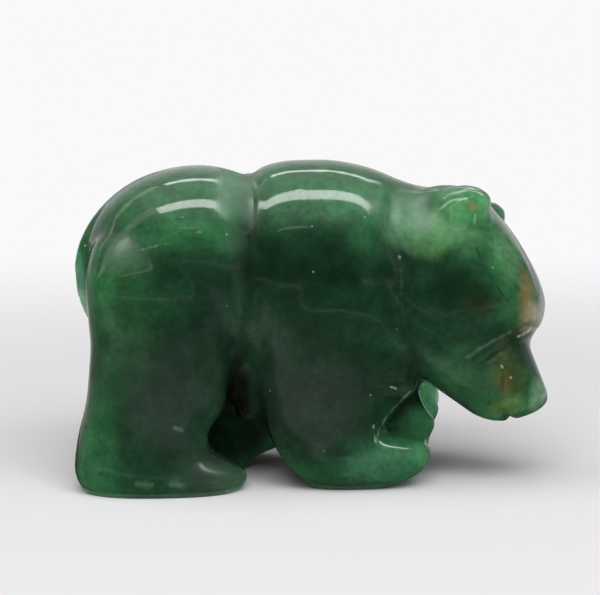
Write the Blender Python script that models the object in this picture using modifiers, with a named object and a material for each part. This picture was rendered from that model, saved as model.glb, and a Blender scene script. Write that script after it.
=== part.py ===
"""A bear carved whole from green aventurine, in metres, +Z up.

The bear faces +X and stands on its four paws at Z = 0. The origin is under the
middle of the carving. LENGTH is its real length. Everything else is carving, so
it is given as shares of that length: X from the rump (0) to the nose (about 1),
Y across (negative is the bear's right side), Z up from the ground.
"""
import math
from dataclasses import dataclass

import bmesh
import bpy
import numpy as np
from mathutils import Matrix, Vector
from mathutils.bvhtree import BVHTree
from mathutils.kdtree import KDTree

LENGTH = 0.050
STONE_COLOUR = (0.028, 0.165, 0.075, 1.0)
STONE_ROUGHNESS = 0.12

# Blocking out: how finely the forms are cut, as shares of the length
RINGS = 60
RING_POINTS = 56
ROUGH_GRID = 0.0080
FINE_GRID = 0.0066
TRIANGLES = 9600

# Carved lines: the spacing of their points and the toes of each paw
GROOVE_STEP = 0.008
TOES = 4

# The paws are cut flat at this share of the length above the datum of the lofts
GROUND = 0.022

# The head is turned towards the bear's right about an axis that leans forward
HEAD_TURN = math.radians(21.0)
HEAD_LEAN = math.radians(32.0)
HEAD_PIVOT = Vector((0.70, 0.0, 0.45))

# The slots between the left and the right legs
SLOT_HALF_WIDTH = 0.040
HIND_SLOT_TOP = 0.170
FORE_SLOT_TOP = 0.215

# The far legs stand a step ahead of the near ones
FORE_STEP = 0.030
FORE_STEP_TOP = 0.32
HIND_STEP = 0.085
HIND_STEP_TOP = 0.36
HIND_INNER = 0.010


@dataclass(frozen=True)
class Slice:
    """One cross-section of a loft: its place, its two extents and its shape."""

    at: float
    lo: float
    hi: float
    left: float
    right: float
    power: float = 2.2
    taper: float = 0.0

    def numbers(self):
        return (self.lo, self.hi, self.left, self.right, self.power, self.taper)


def pchip(xs, ys, x):
    """A smooth curve through the given values that never overshoots them."""
    h = np.diff(xs)
    slope = np.diff(ys) / h
    tangent = np.zeros(len(xs))
    tangent[0] = slope[0]
    tangent[-1] = slope[-1]
    for i in range(1, len(xs) - 1):
        if slope[i - 1] * slope[i] > 0.0:
            a = 2.0 * h[i] + h[i - 1]
            b = h[i] + 2.0 * h[i - 1]
            tangent[i] = (a + b) / (a / slope[i - 1] + b / slope[i])
    k = int(np.clip(np.searchsorted(xs, x) - 1, 0, len(h) - 1))
    t = min(max((x - xs[k]) / h[k], 0.0), 1.0)
    value = ys[k] * (1.0 + 2.0 * t) * (1.0 - t) ** 2 + ys[k + 1] * t * t * (3.0 - 2.0 * t)
    return value + h[k] * (tangent[k] * t * (1.0 - t) ** 2 - tangent[k + 1] * t * t * (1.0 - t))


def dome(depth, radius, power):
    """Share of the full section at a depth inside a rounded end."""
    if radius <= 0.0 or depth >= radius:
        return 1.0
    return max(1.0 - (1.0 - depth / radius) ** power, 0.0) ** (1.0 / power)


def loft(name, axis, slices, round_start=0.0, round_end=0.0, dome_power=2.0):
    """A closed skin through cross-sections set along X or along Z."""
    places = np.array([s.at for s in slices])
    table = np.array([s.numbers() for s in slices])
    start, end = places[0], places[-1]
    rings = []
    for i in range(RINGS + 1):
        share = 0.5 - 0.5 * math.cos(math.pi * (i + 0.25) / (RINGS + 0.5))
        at = start + (end - start) * share
        lo, hi, left, right, power, taper = (pchip(places, column, at) for column in table.T)
        size = dome(at - start, round_start, dome_power) * dome(end - at, round_end, dome_power)
        size = max(size, 0.02)
        middle = ((lo + hi) / 2.0, (left + right) / 2.0)
        half = ((hi - lo) / 2.0 * size, (right - left) / 2.0 * size)
        ring = []
        for j in range(RING_POINTS):
            angle = 2.0 * math.pi * j / RING_POINTS
            c, s = math.cos(angle), math.sin(angle)
            u = middle[0] + half[0] * math.copysign(abs(c) ** (2.0 / power), c)
            side = math.copysign(abs(s) ** (2.0 / power), s) * (1.0 - taper * c)
            v = middle[1] + half[1] * side
            ring.append((at, v, u) if axis == "X" else (u, v, at))
        rings.append(ring)
    mesh = bpy.data.meshes.new(name)
    bm = bmesh.new()
    rows = [[bm.verts.new(Vector(p) * LENGTH) for p in ring] for ring in rings]
    for low, high in zip(rows, rows[1:]):
        for j in range(RING_POINTS):
            k = (j + 1) % RING_POINTS
            bm.faces.new((low[j], low[k], high[k], high[j]))
    bm.faces.new(rows[0])
    bm.faces.new(list(reversed(rows[-1])))
    bmesh.ops.recalc_face_normals(bm, faces=bm.faces[:])
    bm.to_mesh(mesh)
    bm.free()
    return bpy.data.objects.new(name, mesh)


def ellipsoid(name, centre, radii, tilt=(0.0, 0.0, 0.0)):
    """A sphere scaled to three radii and tilted about X, Y and Z in degrees."""
    mesh = bpy.data.meshes.new(name)
    bm = bmesh.new()
    bmesh.ops.create_uvsphere(bm, u_segments=40, v_segments=24, radius=1.0)
    turn = Matrix.Identity(4)
    for axis, angle in zip("XYZ", tilt):
        turn = Matrix.Rotation(math.radians(angle), 4, axis) @ turn
    place = Matrix.Translation(Vector(centre) * LENGTH) @ turn
    bm.transform(place @ Matrix.Diagonal((*(r * LENGTH for r in radii), 1.0)))
    bm.to_mesh(mesh)
    bm.free()
    return bpy.data.objects.new(name, mesh)


def tube(name, points, radii):
    """A round bar through the given points, thinning as its radii say."""
    curve = bpy.data.curves.new(name, "CURVE")
    curve.dimensions = "3D"
    curve.bevel_depth = LENGTH
    curve.bevel_resolution = 3
    curve.use_fill_caps = True
    spline = curve.splines.new("POLY")
    spline.points.add(len(points) - 1)
    for point, place, radius in zip(spline.points, points, radii):
        point.co = (*(Vector(place) * LENGTH), 1.0)
        point.radius = radius
    bar = bpy.data.objects.new(name, curve)
    bpy.context.scene.collection.objects.link(bar)
    graph = bpy.context.evaluated_depsgraph_get()
    mesh = bpy.data.meshes.new_from_object(bar.evaluated_get(graph), depsgraph=graph)
    bpy.data.objects.remove(bar)
    bm = bmesh.new()
    bm.from_mesh(mesh)
    bmesh.ops.remove_doubles(bm, verts=bm.verts[:], dist=1e-7)
    bmesh.ops.recalc_face_normals(bm, faces=bm.faces[:])
    bm.to_mesh(mesh)
    bm.free()
    return bpy.data.objects.new(name, mesh)


def head_rotation():
    """The turn of the head about its leaning axis."""
    axis = Vector((math.sin(HEAD_LEAN), 0.0, math.cos(HEAD_LEAN)))
    return Matrix.Rotation(-HEAD_TURN, 4, axis)


def turn_head(obj):
    """Turns a form modelled straight ahead with the head."""
    pivot = HEAD_PIVOT * LENGTH
    obj.data.transform(Matrix.Translation(pivot) @ head_rotation() @ Matrix.Translation(-pivot))
    return obj


def step_forward(obj, step, top):
    """Moves the lower part of a leg ahead, by the full step below half the top."""
    for vert in obj.data.vertices:
        share = min(max((top - vert.co.z / LENGTH) / (0.5 * top), 0.0), 1.0)
        vert.co.x += step * LENGTH * share * share * (3.0 - 2.0 * share)
    return obj


def trunk():
    """Rump, saddle, shoulder hump and neck in one skin from tail to head."""
    return loft("trunk", "X", [
        Slice(0.004, 0.310, 0.678, -0.226, 0.226, 2.3),
        Slice(0.240, 0.300, 0.678, -0.228, 0.228, 2.3),
        Slice(0.290, 0.260, 0.673, -0.220, 0.220, 2.3),
        Slice(0.314, 0.140, 0.666, -0.203, 0.203, 2.3),
        Slice(0.336, 0.106, 0.657, -0.190, 0.190, 2.3),
        Slice(0.352, 0.100, 0.662, -0.196, 0.196, 2.3),
        Slice(0.378, 0.102, 0.677, -0.215, 0.215, 2.3),
        Slice(0.434, 0.118, 0.687, -0.222, 0.222, 2.3),
        Slice(0.498, 0.150, 0.688, -0.224, 0.224, 2.3),
        Slice(0.552, 0.185, 0.681, -0.222, 0.222, 2.3),
        Slice(0.601, 0.190, 0.668, -0.204, 0.204, 2.2),
        Slice(0.655, 0.200, 0.645, -0.176, 0.176, 2.2),
        Slice(0.695, 0.215, 0.632, -0.166, 0.166, 2.1),
        Slice(0.749, 0.240, 0.625, -0.160, 0.160, 2.0),
        Slice(0.820, 0.270, 0.590, -0.130, 0.130, 2.0),
    ], round_start=0.236, round_end=0.05)


def hind_leg(side):
    """One haunch, hind leg and paw, given by its inner and outer face."""
    def cut(at, back, front, outer, power=3.0, taper=0.0):
        edges = sorted((side * HIND_INNER, side * outer))
        return Slice(at, back, front, edges[0], edges[1], power, taper)

    leg = loft("hind_leg", "Z", [
        cut(0.000, 0.010, 0.320, 0.226),
        cut(0.030, -0.010, 0.334, 0.238),
        cut(0.050, -0.020, 0.324, 0.240),
        cut(0.066, -0.023, 0.303, 0.238),
        cut(0.092, -0.021, 0.262, 0.232),
        cut(0.113, -0.018, 0.249, 0.228),
        cut(0.140, -0.013, 0.250, 0.226),
        cut(0.174, -0.004, 0.270, 0.225),
        cut(0.212, 0.004, 0.294, 0.226),
        cut(0.262, 0.008, 0.299, 0.228, 2.8),
        cut(0.320, 0.012, 0.298, 0.231, 2.6),
        cut(0.378, 0.014, 0.297, 0.233, 2.6),
        cut(0.449, 0.018, 0.296, 0.230, 2.5),
        cut(0.520, 0.030, 0.292, 0.205, 2.4),
        cut(0.580, 0.070, 0.285, 0.160, 2.3),
    ], round_end=0.02)
    return step_forward(leg, HIND_STEP if side > 0.0 else 0.0, HIND_STEP_TOP)


def foreleg(side):
    """One shoulder, foreleg and paw, given by its inner and outer face."""
    def cut(at, back, front, inner, outer, power=2.8, taper=0.0):
        edges = sorted((side * inner, side * outer))
        return Slice(at, back, front, edges[0], edges[1], power, taper)

    leg = loft("foreleg", "Z", [
        cut(0.000, 0.484, 0.650, 0.050, 0.212),
        cut(0.022, 0.470, 0.668, 0.044, 0.220),
        cut(0.036, 0.452, 0.690, 0.040, 0.226),
        cut(0.052, 0.430, 0.706, 0.036, 0.229),
        cut(0.071, 0.410, 0.717, 0.034, 0.229, 2.8, 0.05),
        cut(0.088, 0.395, 0.716, 0.032, 0.226, 2.8, 0.06),
        cut(0.101, 0.386, 0.668, 0.030, 0.224),
        cut(0.115, 0.378, 0.620, 0.028, 0.222),
        cut(0.135, 0.369, 0.606, 0.026, 0.221),
        cut(0.160, 0.363, 0.614, 0.024, 0.221),
        cut(0.195, 0.358, 0.642, 0.020, 0.223),
        cut(0.230, 0.352, 0.676, 0.016, 0.226),
        cut(0.300, 0.347, 0.672, 0.010, 0.230, 2.6),
        cut(0.380, 0.345, 0.656, 0.010, 0.231, 2.5),
        cut(0.450, 0.347, 0.644, 0.010, 0.225, 2.4),
        cut(0.520, 0.350, 0.634, 0.010, 0.204, 2.3),
        cut(0.580, 0.356, 0.620, 0.010, 0.165, 2.2),
        cut(0.620, 0.365, 0.590, 0.010, 0.120, 2.2),
    ], round_end=0.03)
    return step_forward(leg, FORE_STEP if side > 0.0 else 0.0, FORE_STEP_TOP)


def inner_foreleg(side):
    """The inner half of a foreleg: the wall behind the scoop above the paw."""
    def cut(at, back, front, outer=0.128, power=2.8):
        edges = sorted((side * 0.030, side * outer))
        return Slice(at, back, front, edges[0], edges[1], power)

    leg = loft("inner_foreleg", "Z", [
        cut(0.000, 0.500, 0.650),
        cut(0.060, 0.450, 0.712),
        cut(0.090, 0.440, 0.722),
        cut(0.108, 0.430, 0.728),
        cut(0.116, 0.430, 0.740),
        cut(0.132, 0.420, 0.750),
        cut(0.146, 0.420, 0.744),
        cut(0.165, 0.410, 0.722),
        cut(0.200, 0.400, 0.704),
        cut(0.260, 0.400, 0.690),
        cut(0.340, 0.400, 0.660),
    ], round_end=0.03)
    return step_forward(leg, FORE_STEP if side > 0.0 else 0.0, FORE_STEP_TOP)


def far_wrist():
    """The far foreleg's wrist, which closes the view between jaw and paw."""
    return ellipsoid("far_wrist", (0.708, 0.135, 0.152), (0.070, 0.080, 0.078))


def skull():
    """Head from the crown down to the chin: brow, stop, snout and jaw."""
    return turn_head(loft("skull", "Z", [
        Slice(0.135, 0.872, 0.930, -0.060, 0.060, 2.2),
        Slice(0.142, 0.850, 0.962, -0.078, 0.078, 2.3, 0.05),
        Slice(0.152, 0.830, 0.963, -0.092, 0.092, 2.4, 0.10),
        Slice(0.163, 0.812, 0.978, -0.102, 0.102, 2.4, 0.16),
        Slice(0.180, 0.784, 0.981, -0.114, 0.114, 2.4, 0.22),
        Slice(0.212, 0.735, 0.970, -0.130, 0.130, 2.4, 0.28),
        Slice(0.242, 0.690, 0.956, -0.142, 0.142, 2.4, 0.30),
        Slice(0.275, 0.660, 0.944, -0.152, 0.152, 2.4, 0.28),
        Slice(0.298, 0.650, 0.940, -0.158, 0.158, 2.5, 0.26),
        Slice(0.315, 0.645, 0.956, -0.162, 0.162, 2.7, 0.22),
        Slice(0.345, 0.640, 0.972, -0.166, 0.166, 3.6, 0.24),
        Slice(0.385, 0.640, 0.972, -0.170, 0.170, 3.8, 0.26),
        Slice(0.430, 0.645, 0.956, -0.172, 0.172, 3.8, 0.26),
        Slice(0.488, 0.660, 0.924, -0.168, 0.168, 3.6, 0.24),
        Slice(0.534, 0.680, 0.894, -0.156, 0.156, 3.2, 0.18),
        Slice(0.569, 0.700, 0.864, -0.138, 0.138, 2.5, 0.08),
        Slice(0.605, 0.720, 0.828, -0.105, 0.105, 2.2),
        Slice(0.622, 0.735, 0.803, -0.080, 0.080, 2.2),
    ], round_end=0.02))


def ear(side):
    """A rounded lobe that leans forward from the side of the crown."""
    return turn_head(ellipsoid("ear", (0.815, side * 0.130, 0.578), (0.066, 0.036, 0.049),
                               (side * -12.0, -4.0, 0.0)))


def tail():
    """The raised strip that runs down the middle of the rump."""
    points = [(0.225, 0.674), (0.150, 0.654), (0.100, 0.626), (0.055, 0.584), (0.027, 0.543),
              (0.012, 0.505), (0.006, 0.468), (0.006, 0.430), (0.011, 0.390), (0.018, 0.355)]
    radii = [0.004, 0.012, 0.017, 0.021, 0.024, 0.025, 0.024, 0.021, 0.016, 0.008]
    return tube("tail", [(x, 0.0, z) for x, z in points], radii)


def leg_slots():
    """The openings that part the left legs from the right ones."""
    hind = loft("hind_slot", "X", [
        Slice(-0.10, -0.20, HIND_SLOT_TOP, -SLOT_HALF_WIDTH, SLOT_HALF_WIDTH, 3.5),
        Slice(0.36, -0.20, HIND_SLOT_TOP, -SLOT_HALF_WIDTH, SLOT_HALF_WIDTH, 3.5),
    ])
    fore = loft("fore_slot", "X", [
        Slice(0.34, -0.20, FORE_SLOT_TOP, -SLOT_HALF_WIDTH, SLOT_HALF_WIDTH, 3.5),
        Slice(0.86, -0.20, FORE_SLOT_TOP - 0.02, -SLOT_HALF_WIDTH, SLOT_HALF_WIDTH, 3.5),
    ])
    return [hind, fore]


def head_cuts():
    """The hollows beside the snout and in the ears."""
    cuts = []
    for side in (-1.0, 1.0):
        cuts.append(turn_head(ellipsoid("snout_side", (0.940, side * 0.150, 0.245),
                                        (0.075, 0.050, 0.062), (0.0, 25.0, side * -14.0))))
        cuts.append(turn_head(ellipsoid("ear_hollow", (0.836, side * 0.170, 0.574),
                                        (0.046, 0.024, 0.028), (side * -18.0, -12.0, side * -12.0))))
    return cuts


def groove(obj, skin, starts, inward, width, depth):
    """Presses a line into the skin where rays from the start points meet it."""
    line = []
    for start, end in zip(starts, starts[1:]):
        steps = max(int((end - start).length / GROOVE_STEP), 1)
        for i in range(steps + 1):
            hit, _, _, _ = skin.ray_cast(start.lerp(end, i / steps) * LENGTH, inward)
            if hit is not None:
                line.append(hit)
    tree = KDTree(len(obj.data.vertices))
    for vert in obj.data.vertices:
        tree.insert(vert.co, vert.index)
    tree.balance()
    press = {}
    for i, place in enumerate(line):
        run_out = min(1.0, 0.4 + 0.2 * min(i, len(line) - 1 - i))
        reach = width * LENGTH * run_out
        for _, index, gap in tree.find_range(place, reach):
            amount = depth * LENGTH * run_out * (1.0 - (gap / reach) ** 2) ** 1.5
            press[index] = max(press.get(index, 0.0), amount)
    moved = {i: obj.data.vertices[i].normal * amount for i, amount in press.items()}
    for index, offset in moved.items():
        obj.data.vertices[index].co -= offset


def side_groove(obj, skin, path, width, depth, side, turned=False):
    """A groove along a path of (x, z) shares, pressed in from the left or right."""
    turn = head_rotation().to_3x3() if turned else Matrix.Identity(3)
    starts = [turn @ (Vector((x, side * 0.5, z)) - HEAD_PIVOT) + HEAD_PIVOT for x, z in path]
    groove(obj, skin, starts, turn @ Vector((0.0, -side, 0.0)), width, depth)


def toe_cuts(obj, skin, tip, outer, side):
    """The lines that part the toes of one paw, from its top down its front."""
    inward = Vector((-0.8, 0.0, -0.6))
    for i in range(1, TOES):
        y = side * (SLOT_HALF_WIDTH + (outer - SLOT_HALF_WIDTH) * i / TOES)
        front = Vector((tip, y, GROUND + 0.045)) - inward * 0.05
        starts = [front + Vector(step) for step in ((-0.05, 0.0, 0.03), (0.0, 0.0, 0.0), (-0.02, 0.0, -0.04))]
        groove(obj, skin, starts, inward, 0.014, 0.010)


def carve_lines(obj):
    """Saddle groove, brow fold, mouth slit and toes, pressed into the skin."""
    skin = BVHTree.FromObject(obj, bpy.context.evaluated_depsgraph_get())
    saddle = [(0.338, 0.652), (0.336, 0.620), (0.333, 0.560), (0.330, 0.480), (0.328, 0.400),
              (0.326, 0.320), (0.328, 0.260), (0.330, 0.200)]
    brow = [(0.985, 0.335), (0.960, 0.322), (0.930, 0.309), (0.900, 0.295), (0.872, 0.276)]
    mouth = [(0.880, 0.140), (0.880, 0.170), (0.881, 0.205), (0.884, 0.240), (0.886, 0.264)]
    for side in (-1.0, 1.0):
        side_groove(obj, skin, saddle, 0.030, 0.012, side)
        side_groove(obj, skin, brow, 0.016, 0.010, side, True)
        side_groove(obj, skin, mouth, 0.013, 0.011, side, True)
        step = 1.0 if side > 0.0 else 0.0
        toe_cuts(obj, skin, 0.715 + FORE_STEP * step, 0.225, side)
        toe_cuts(obj, skin, 0.330 + HIND_STEP * step, 0.235, side)


def keep_whole(obj):
    """Drops crumbs that a cut has left beside the one stone."""
    bm = bmesh.new()
    bm.from_mesh(obj.data)
    left = set(bm.verts)
    shells = []
    while left:
        shell, front = set(), [left.pop()]
        while front:
            vert = front.pop()
            shell.add(vert)
            for edge in vert.link_edges:
                other = edge.other_vert(vert)
                if other in left:
                    left.remove(other)
                    front.append(other)
        shells.append(shell)
    biggest = max(shells, key=len)
    crumbs = [vert for shell in shells if shell is not biggest for vert in shell]
    bmesh.ops.delete(bm, geom=crumbs, context="VERTS")
    bm.to_mesh(obj.data)
    bm.free()


def apply_modifiers(obj):
    """Replaces an object's mesh by what its modifiers make of it."""
    graph = bpy.context.evaluated_depsgraph_get()
    mesh = bpy.data.meshes.new_from_object(obj.evaluated_get(graph), depsgraph=graph)
    obj.modifiers.clear()
    obj.data = mesh


def skin_over(obj, grid, passes):
    """Fuses what overlaps into one skin and eases its creases."""
    remesh = obj.modifiers.new("skin", "REMESH")
    remesh.mode = "VOXEL"
    remesh.voxel_size = grid * LENGTH
    remesh.use_smooth_shade = True
    ease = obj.modifiers.new("ease", "SMOOTH")
    ease.factor = 0.5
    ease.iterations = passes
    apply_modifiers(obj)


def join(name, pieces, collection):
    """One object that holds several overlapping closed forms."""
    mesh = bpy.data.meshes.new(name)
    bm = bmesh.new()
    for piece in pieces:
        bm.from_mesh(piece.data)
        bpy.data.objects.remove(piece)
    bm.to_mesh(mesh)
    bm.free()
    body = bpy.data.objects.new(name, mesh)
    collection.objects.link(body)
    return body


def cut_away(obj, cutters, collection):
    """Subtracts each cutter in turn."""
    for cutter in cutters:
        collection.objects.link(cutter)
        cutter.hide_render = True
        cutter.display_type = "WIRE"
        boolean = obj.modifiers.new(cutter.name, "BOOLEAN")
        boolean.operation = "DIFFERENCE"
        boolean.solver = "EXACT"
        boolean.object = cutter
    apply_modifiers(obj)
    for cutter in cutters:
        bpy.data.objects.remove(cutter)


def stand_and_centre(obj):
    """Cuts the paws flat and puts the origin under the middle, on the ground."""
    bm = bmesh.new()
    bm.from_mesh(obj.data)
    everything = bm.verts[:] + bm.edges[:] + bm.faces[:]
    bmesh.ops.bisect_plane(bm, geom=everything, dist=1e-7, plane_co=(0.0, 0.0, GROUND * LENGTH),
                           plane_no=(0.0, 0.0, -1.0), clear_outer=True)
    rim = [edge for edge in bm.edges if edge.is_boundary]
    bmesh.ops.holes_fill(bm, edges=rim)
    bmesh.ops.triangulate(bm, faces=[f for f in bm.faces if len(f.verts) > 3])
    corners = np.array([vert.co[:] for vert in bm.verts])
    middle = (corners.min(axis=0) + corners.max(axis=0)) / 2.0
    bmesh.ops.translate(bm, verts=bm.verts[:], vec=(-middle[0], -middle[1], -GROUND * LENGTH))
    bm.to_mesh(obj.data)
    bm.free()


def stone():
    """Polished green aventurine."""
    material = bpy.data.materials.new("aventurine")
    material.use_nodes = True
    shader = material.node_tree.nodes["Principled BSDF"]
    shader.inputs["Base Color"].default_value = STONE_COLOUR
    shader.inputs["Roughness"].default_value = STONE_ROUGHNESS
    return material


def collection_named(name):
    """A new collection in the scene."""
    collection = bpy.data.collections.new(name)
    bpy.context.scene.collection.children.link(collection)
    return collection


def main():
    for obj in list(bpy.data.objects):
        bpy.data.objects.remove(obj)
    home = collection_named("bear_carving")
    tools = collection_named("cutters")
    masses = [trunk(), skull(), far_wrist()]
    for side in (-1.0, 1.0):
        masses += [hind_leg(side), foreleg(side), inner_foreleg(side), ear(side)]
    bear = join("bear", masses, home)
    skin_over(bear, ROUGH_GRID, 14)
    bear = join("bear", [bear, tail()], home)
    skin_over(bear, FINE_GRID, 2)
    cut_away(bear, leg_slots() + head_cuts(), tools)
    skin_over(bear, FINE_GRID, 3)
    keep_whole(bear)
    carve_lines(bear)
    thin = bear.modifiers.new("thin", "DECIMATE")
    thin.ratio = min(1.0, TRIANGLES / (2.0 * len(bear.data.polygons)))
    apply_modifiers(bear)
    stand_and_centre(bear)
    bear.data.materials.append(stone())
    bear.data.shade_smooth()
    bear.name = "bear"


main()
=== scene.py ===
"""The looks of a bear carved whole from green aventurine, on a pale studio floor.

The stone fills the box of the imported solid. Its forms, cuts and marks are given as
shares of the bear's own length: X from the rump (0) to the nose, Y across (negative
is the bear's right side, nearest the camera), Z up from a datum just under the paws.
Metres come in where the forms are fused into one skin.
"""
import logging
import math
from dataclasses import dataclass, replace
from enum import Enum
from typing import Any, Iterable, Iterator, Sequence

import bmesh
import bpy
import numpy as np
from mathutils import Matrix, Vector
from mathutils.bvhtree import BVHTree


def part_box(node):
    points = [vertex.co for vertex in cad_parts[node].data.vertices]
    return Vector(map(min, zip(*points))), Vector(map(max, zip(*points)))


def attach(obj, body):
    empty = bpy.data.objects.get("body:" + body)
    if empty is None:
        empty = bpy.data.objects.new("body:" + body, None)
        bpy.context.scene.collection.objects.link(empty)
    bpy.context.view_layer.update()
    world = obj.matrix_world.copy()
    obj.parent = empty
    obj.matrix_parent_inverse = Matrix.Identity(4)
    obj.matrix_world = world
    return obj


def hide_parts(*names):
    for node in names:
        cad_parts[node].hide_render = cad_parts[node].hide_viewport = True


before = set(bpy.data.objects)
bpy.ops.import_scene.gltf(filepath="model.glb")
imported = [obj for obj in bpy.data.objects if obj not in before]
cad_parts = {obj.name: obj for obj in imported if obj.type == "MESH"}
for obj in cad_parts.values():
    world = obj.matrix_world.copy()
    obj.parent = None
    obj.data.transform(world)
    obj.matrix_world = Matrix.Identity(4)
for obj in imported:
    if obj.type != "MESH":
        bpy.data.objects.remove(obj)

log = logging.getLogger("bear")

NODE = "bear"
BODY = "root"

Place = tuple[float, float, float]
Colour = tuple[float, float, float]
Shade = tuple[float, float, float, float]
Line = tuple[tuple[float, float], ...]
Socket = bpy.types.NodeSocket

# The paws are cut flat here, above the datum of the forms
GROUND = 0.022

# The carving's own box is this share of the length that its forms are drawn in
SPAN = 0.994

# The head is turned towards the bear's right about an axis that leans forward
HEAD_TURN = math.radians(21.0)
HEAD_LEAN = math.radians(32.0)
HEAD_AXIS = (math.sin(HEAD_LEAN), 0.0, math.cos(HEAD_LEAN))
HEAD_PIVOT = np.array((0.70, 0.0, 0.45))

# Rings and points of a loft and of an egg, as they are drawn before the forms are fused
RINGS, RING_POINTS = 150, 144
EGG_RINGS, EGG_POINTS = 40, 72

# The grids of the skin, and how many easing passes follow each
BLOCK_GRID, BLOCK_PASSES = 0.0056, 28
JOIN_GRID, JOIN_PASSES = 0.0052, 3
SKIN_GRID, SKIN_PASSES = 0.0056, 5

# The spacing of the points where a wheel's line is laid on the skin
LINE_STEP = 0.003

# A ledge's lip: how far it reaches and how high it stands, as shares of width and depth
LIP_REACH, LIP_SHARE = 0.6, 0.25


class Side(Enum):
    """A side of the bear, by the sign of Y."""

    NEAR = -1.0
    FAR = 1.0


class Axis(Enum):
    """The axis that a loft's slices are set along."""

    ALONG = "X"
    UP = "Z"


class Approach(Enum):
    """Where a line is drawn from before it is laid on the stone."""

    SIDE = "side"
    TOP = "top"
    FRONT = "front"
    BACK = "back"
    BELOW = "below"


class Cut(Enum):
    """The section that a tool leaves across its line."""

    VALLEY = "valley"
    NOTCH = "notch"
    RIDGE = "ridge"
    LEDGE = "ledge"


def linear(red: float, green: float, blue: float) -> Shade:
    """A colour for a shader, in linear light, from screen values of 0 to 255."""
    screen = (value / 255.0 for value in (red, green, blue))
    return (*(v / 12.92 if v <= 0.04045 else ((v + 0.055) / 1.055) ** 2.4 for v in screen), 1.0)


def grey(value: float) -> Shade:
    """A grey of linear light."""
    return (value, value, value, 1.0)


def smooth_through(places: np.ndarray, values: np.ndarray, at: np.ndarray) -> np.ndarray:
    """A smooth curve through the given values that never overshoots them.

    Args:
        places: where the values are given, in rising order.
        values: the values there.
        at: where the curve is wanted.

    Returns:
        The curve's value at each wanted place.
    """
    h = np.diff(places)
    slope = np.diff(values) / h
    tangent = np.concatenate(([slope[0]], np.zeros(len(h) - 1), [slope[-1]]))
    for i in range(1, len(h)):
        if slope[i - 1] * slope[i] > 0.0:
            a = 2.0 * h[i] + h[i - 1]
            b = h[i] + 2.0 * h[i - 1]
            tangent[i] = (a + b) / (a / slope[i - 1] + b / slope[i])
    k = np.clip(np.searchsorted(places, at) - 1, 0, len(h) - 1)
    t = np.clip((at - places[k]) / h[k], 0.0, 1.0)
    value = values[k] * (1.0 + 2.0 * t) * (1.0 - t) ** 2 + values[k + 1] * t * t * (3.0 - 2.0 * t)
    return value + h[k] * (tangent[k] * t * (1.0 - t) ** 2 - tangent[k + 1] * t * t * (1.0 - t))


def dome(depth: np.ndarray, radius: float) -> np.ndarray:
    """The narrowing of a section towards a rounded end.

    Args:
        depth: how far inside the end each section is.
        radius: how far the rounding reaches in, 0 for a flat end.

    Returns:
        The share of its full size that each section has.
    """
    if radius <= 0.0:
        return np.ones_like(depth)
    return np.sqrt(np.maximum(1.0 - (1.0 - np.minimum(depth / radius, 1.0)) ** 2, 0.0))


def soft_step(value: np.ndarray) -> np.ndarray:
    """A smooth rise from 0 to 1 as the value goes from 0 to 1."""
    t = np.clip(value, 0.0, 1.0)
    return t * t * (3.0 - 2.0 * t)


def below(at: float, top: float, over: float) -> float:
    """A share that rises from 0 at a height to 1 at some way below it."""
    return float(soft_step(np.array((top - at) / over)))


def head_rotation() -> np.ndarray:
    """The turn of the head about its leaning axis, as a 3 by 3 matrix."""
    return np.array(Matrix.Rotation(-HEAD_TURN, 3, Vector(HEAD_AXIS)))


def with_head(points: np.ndarray) -> np.ndarray:
    """Points drawn on a head that looks straight ahead, turned with the head."""
    return (np.asarray(points) - HEAD_PIVOT) @ head_rotation().T + HEAD_PIVOT


def placed(name: str, data: bpy.types.ID) -> bpy.types.Object:
    """A new object of the scene that shows a mesh, a light or a camera.

    Args:
        name: the object's name.
        data: what it shows.

    Returns:
        The object, at the origin.
    """
    obj = bpy.data.objects.new(name, data)
    bpy.context.scene.collection.objects.link(obj)
    return obj


@dataclass(frozen=True)
class Form:
    """A closed shape, by its points in shares of the length and its faces."""

    points: np.ndarray
    faces: tuple[tuple[int, ...], ...]

    @classmethod
    def read(cls, bm: bmesh.types.BMesh) -> "Form":
        """Reads the form that a mesh under work holds, and lets go of that.

        Args:
            bm: the mesh under work.

        Returns:
            Its points and faces.
        """
        points = np.array([vert.co[:] for vert in bm.verts])
        faces = tuple(tuple(vert.index for vert in face.verts) for face in bm.faces)
        bm.free()
        return cls(points, faces)

    def turned(self) -> "Form":
        """The form turned with the head."""
        return replace(self, points=with_head(self.points))

    def stepped(self, step: float, top: float) -> "Form":
        """The form of a leg whose lower half stands a step ahead.

        Args:
            step: how far ahead the paw goes.
            top: the height where the leg starts to lean.

        Returns:
            The leaning leg.
        """
        points = self.points.copy()
        points[:, 0] += step * soft_step((top - points[:, 2]) / (0.5 * top))
        return replace(self, points=points)


@dataclass(frozen=True)
class Slice:
    """One cross-section of a loft: its place, its two extents and its shape."""

    at: float
    lo: float
    hi: float
    left: float
    right: float
    power: float = 2.2
    taper: float = 0.0

    def numbers(self) -> tuple[float, ...]:
        """What is drawn smoothly from slice to slice."""
        return (self.lo, self.hi, self.left, self.right, self.power, self.taper)


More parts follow.
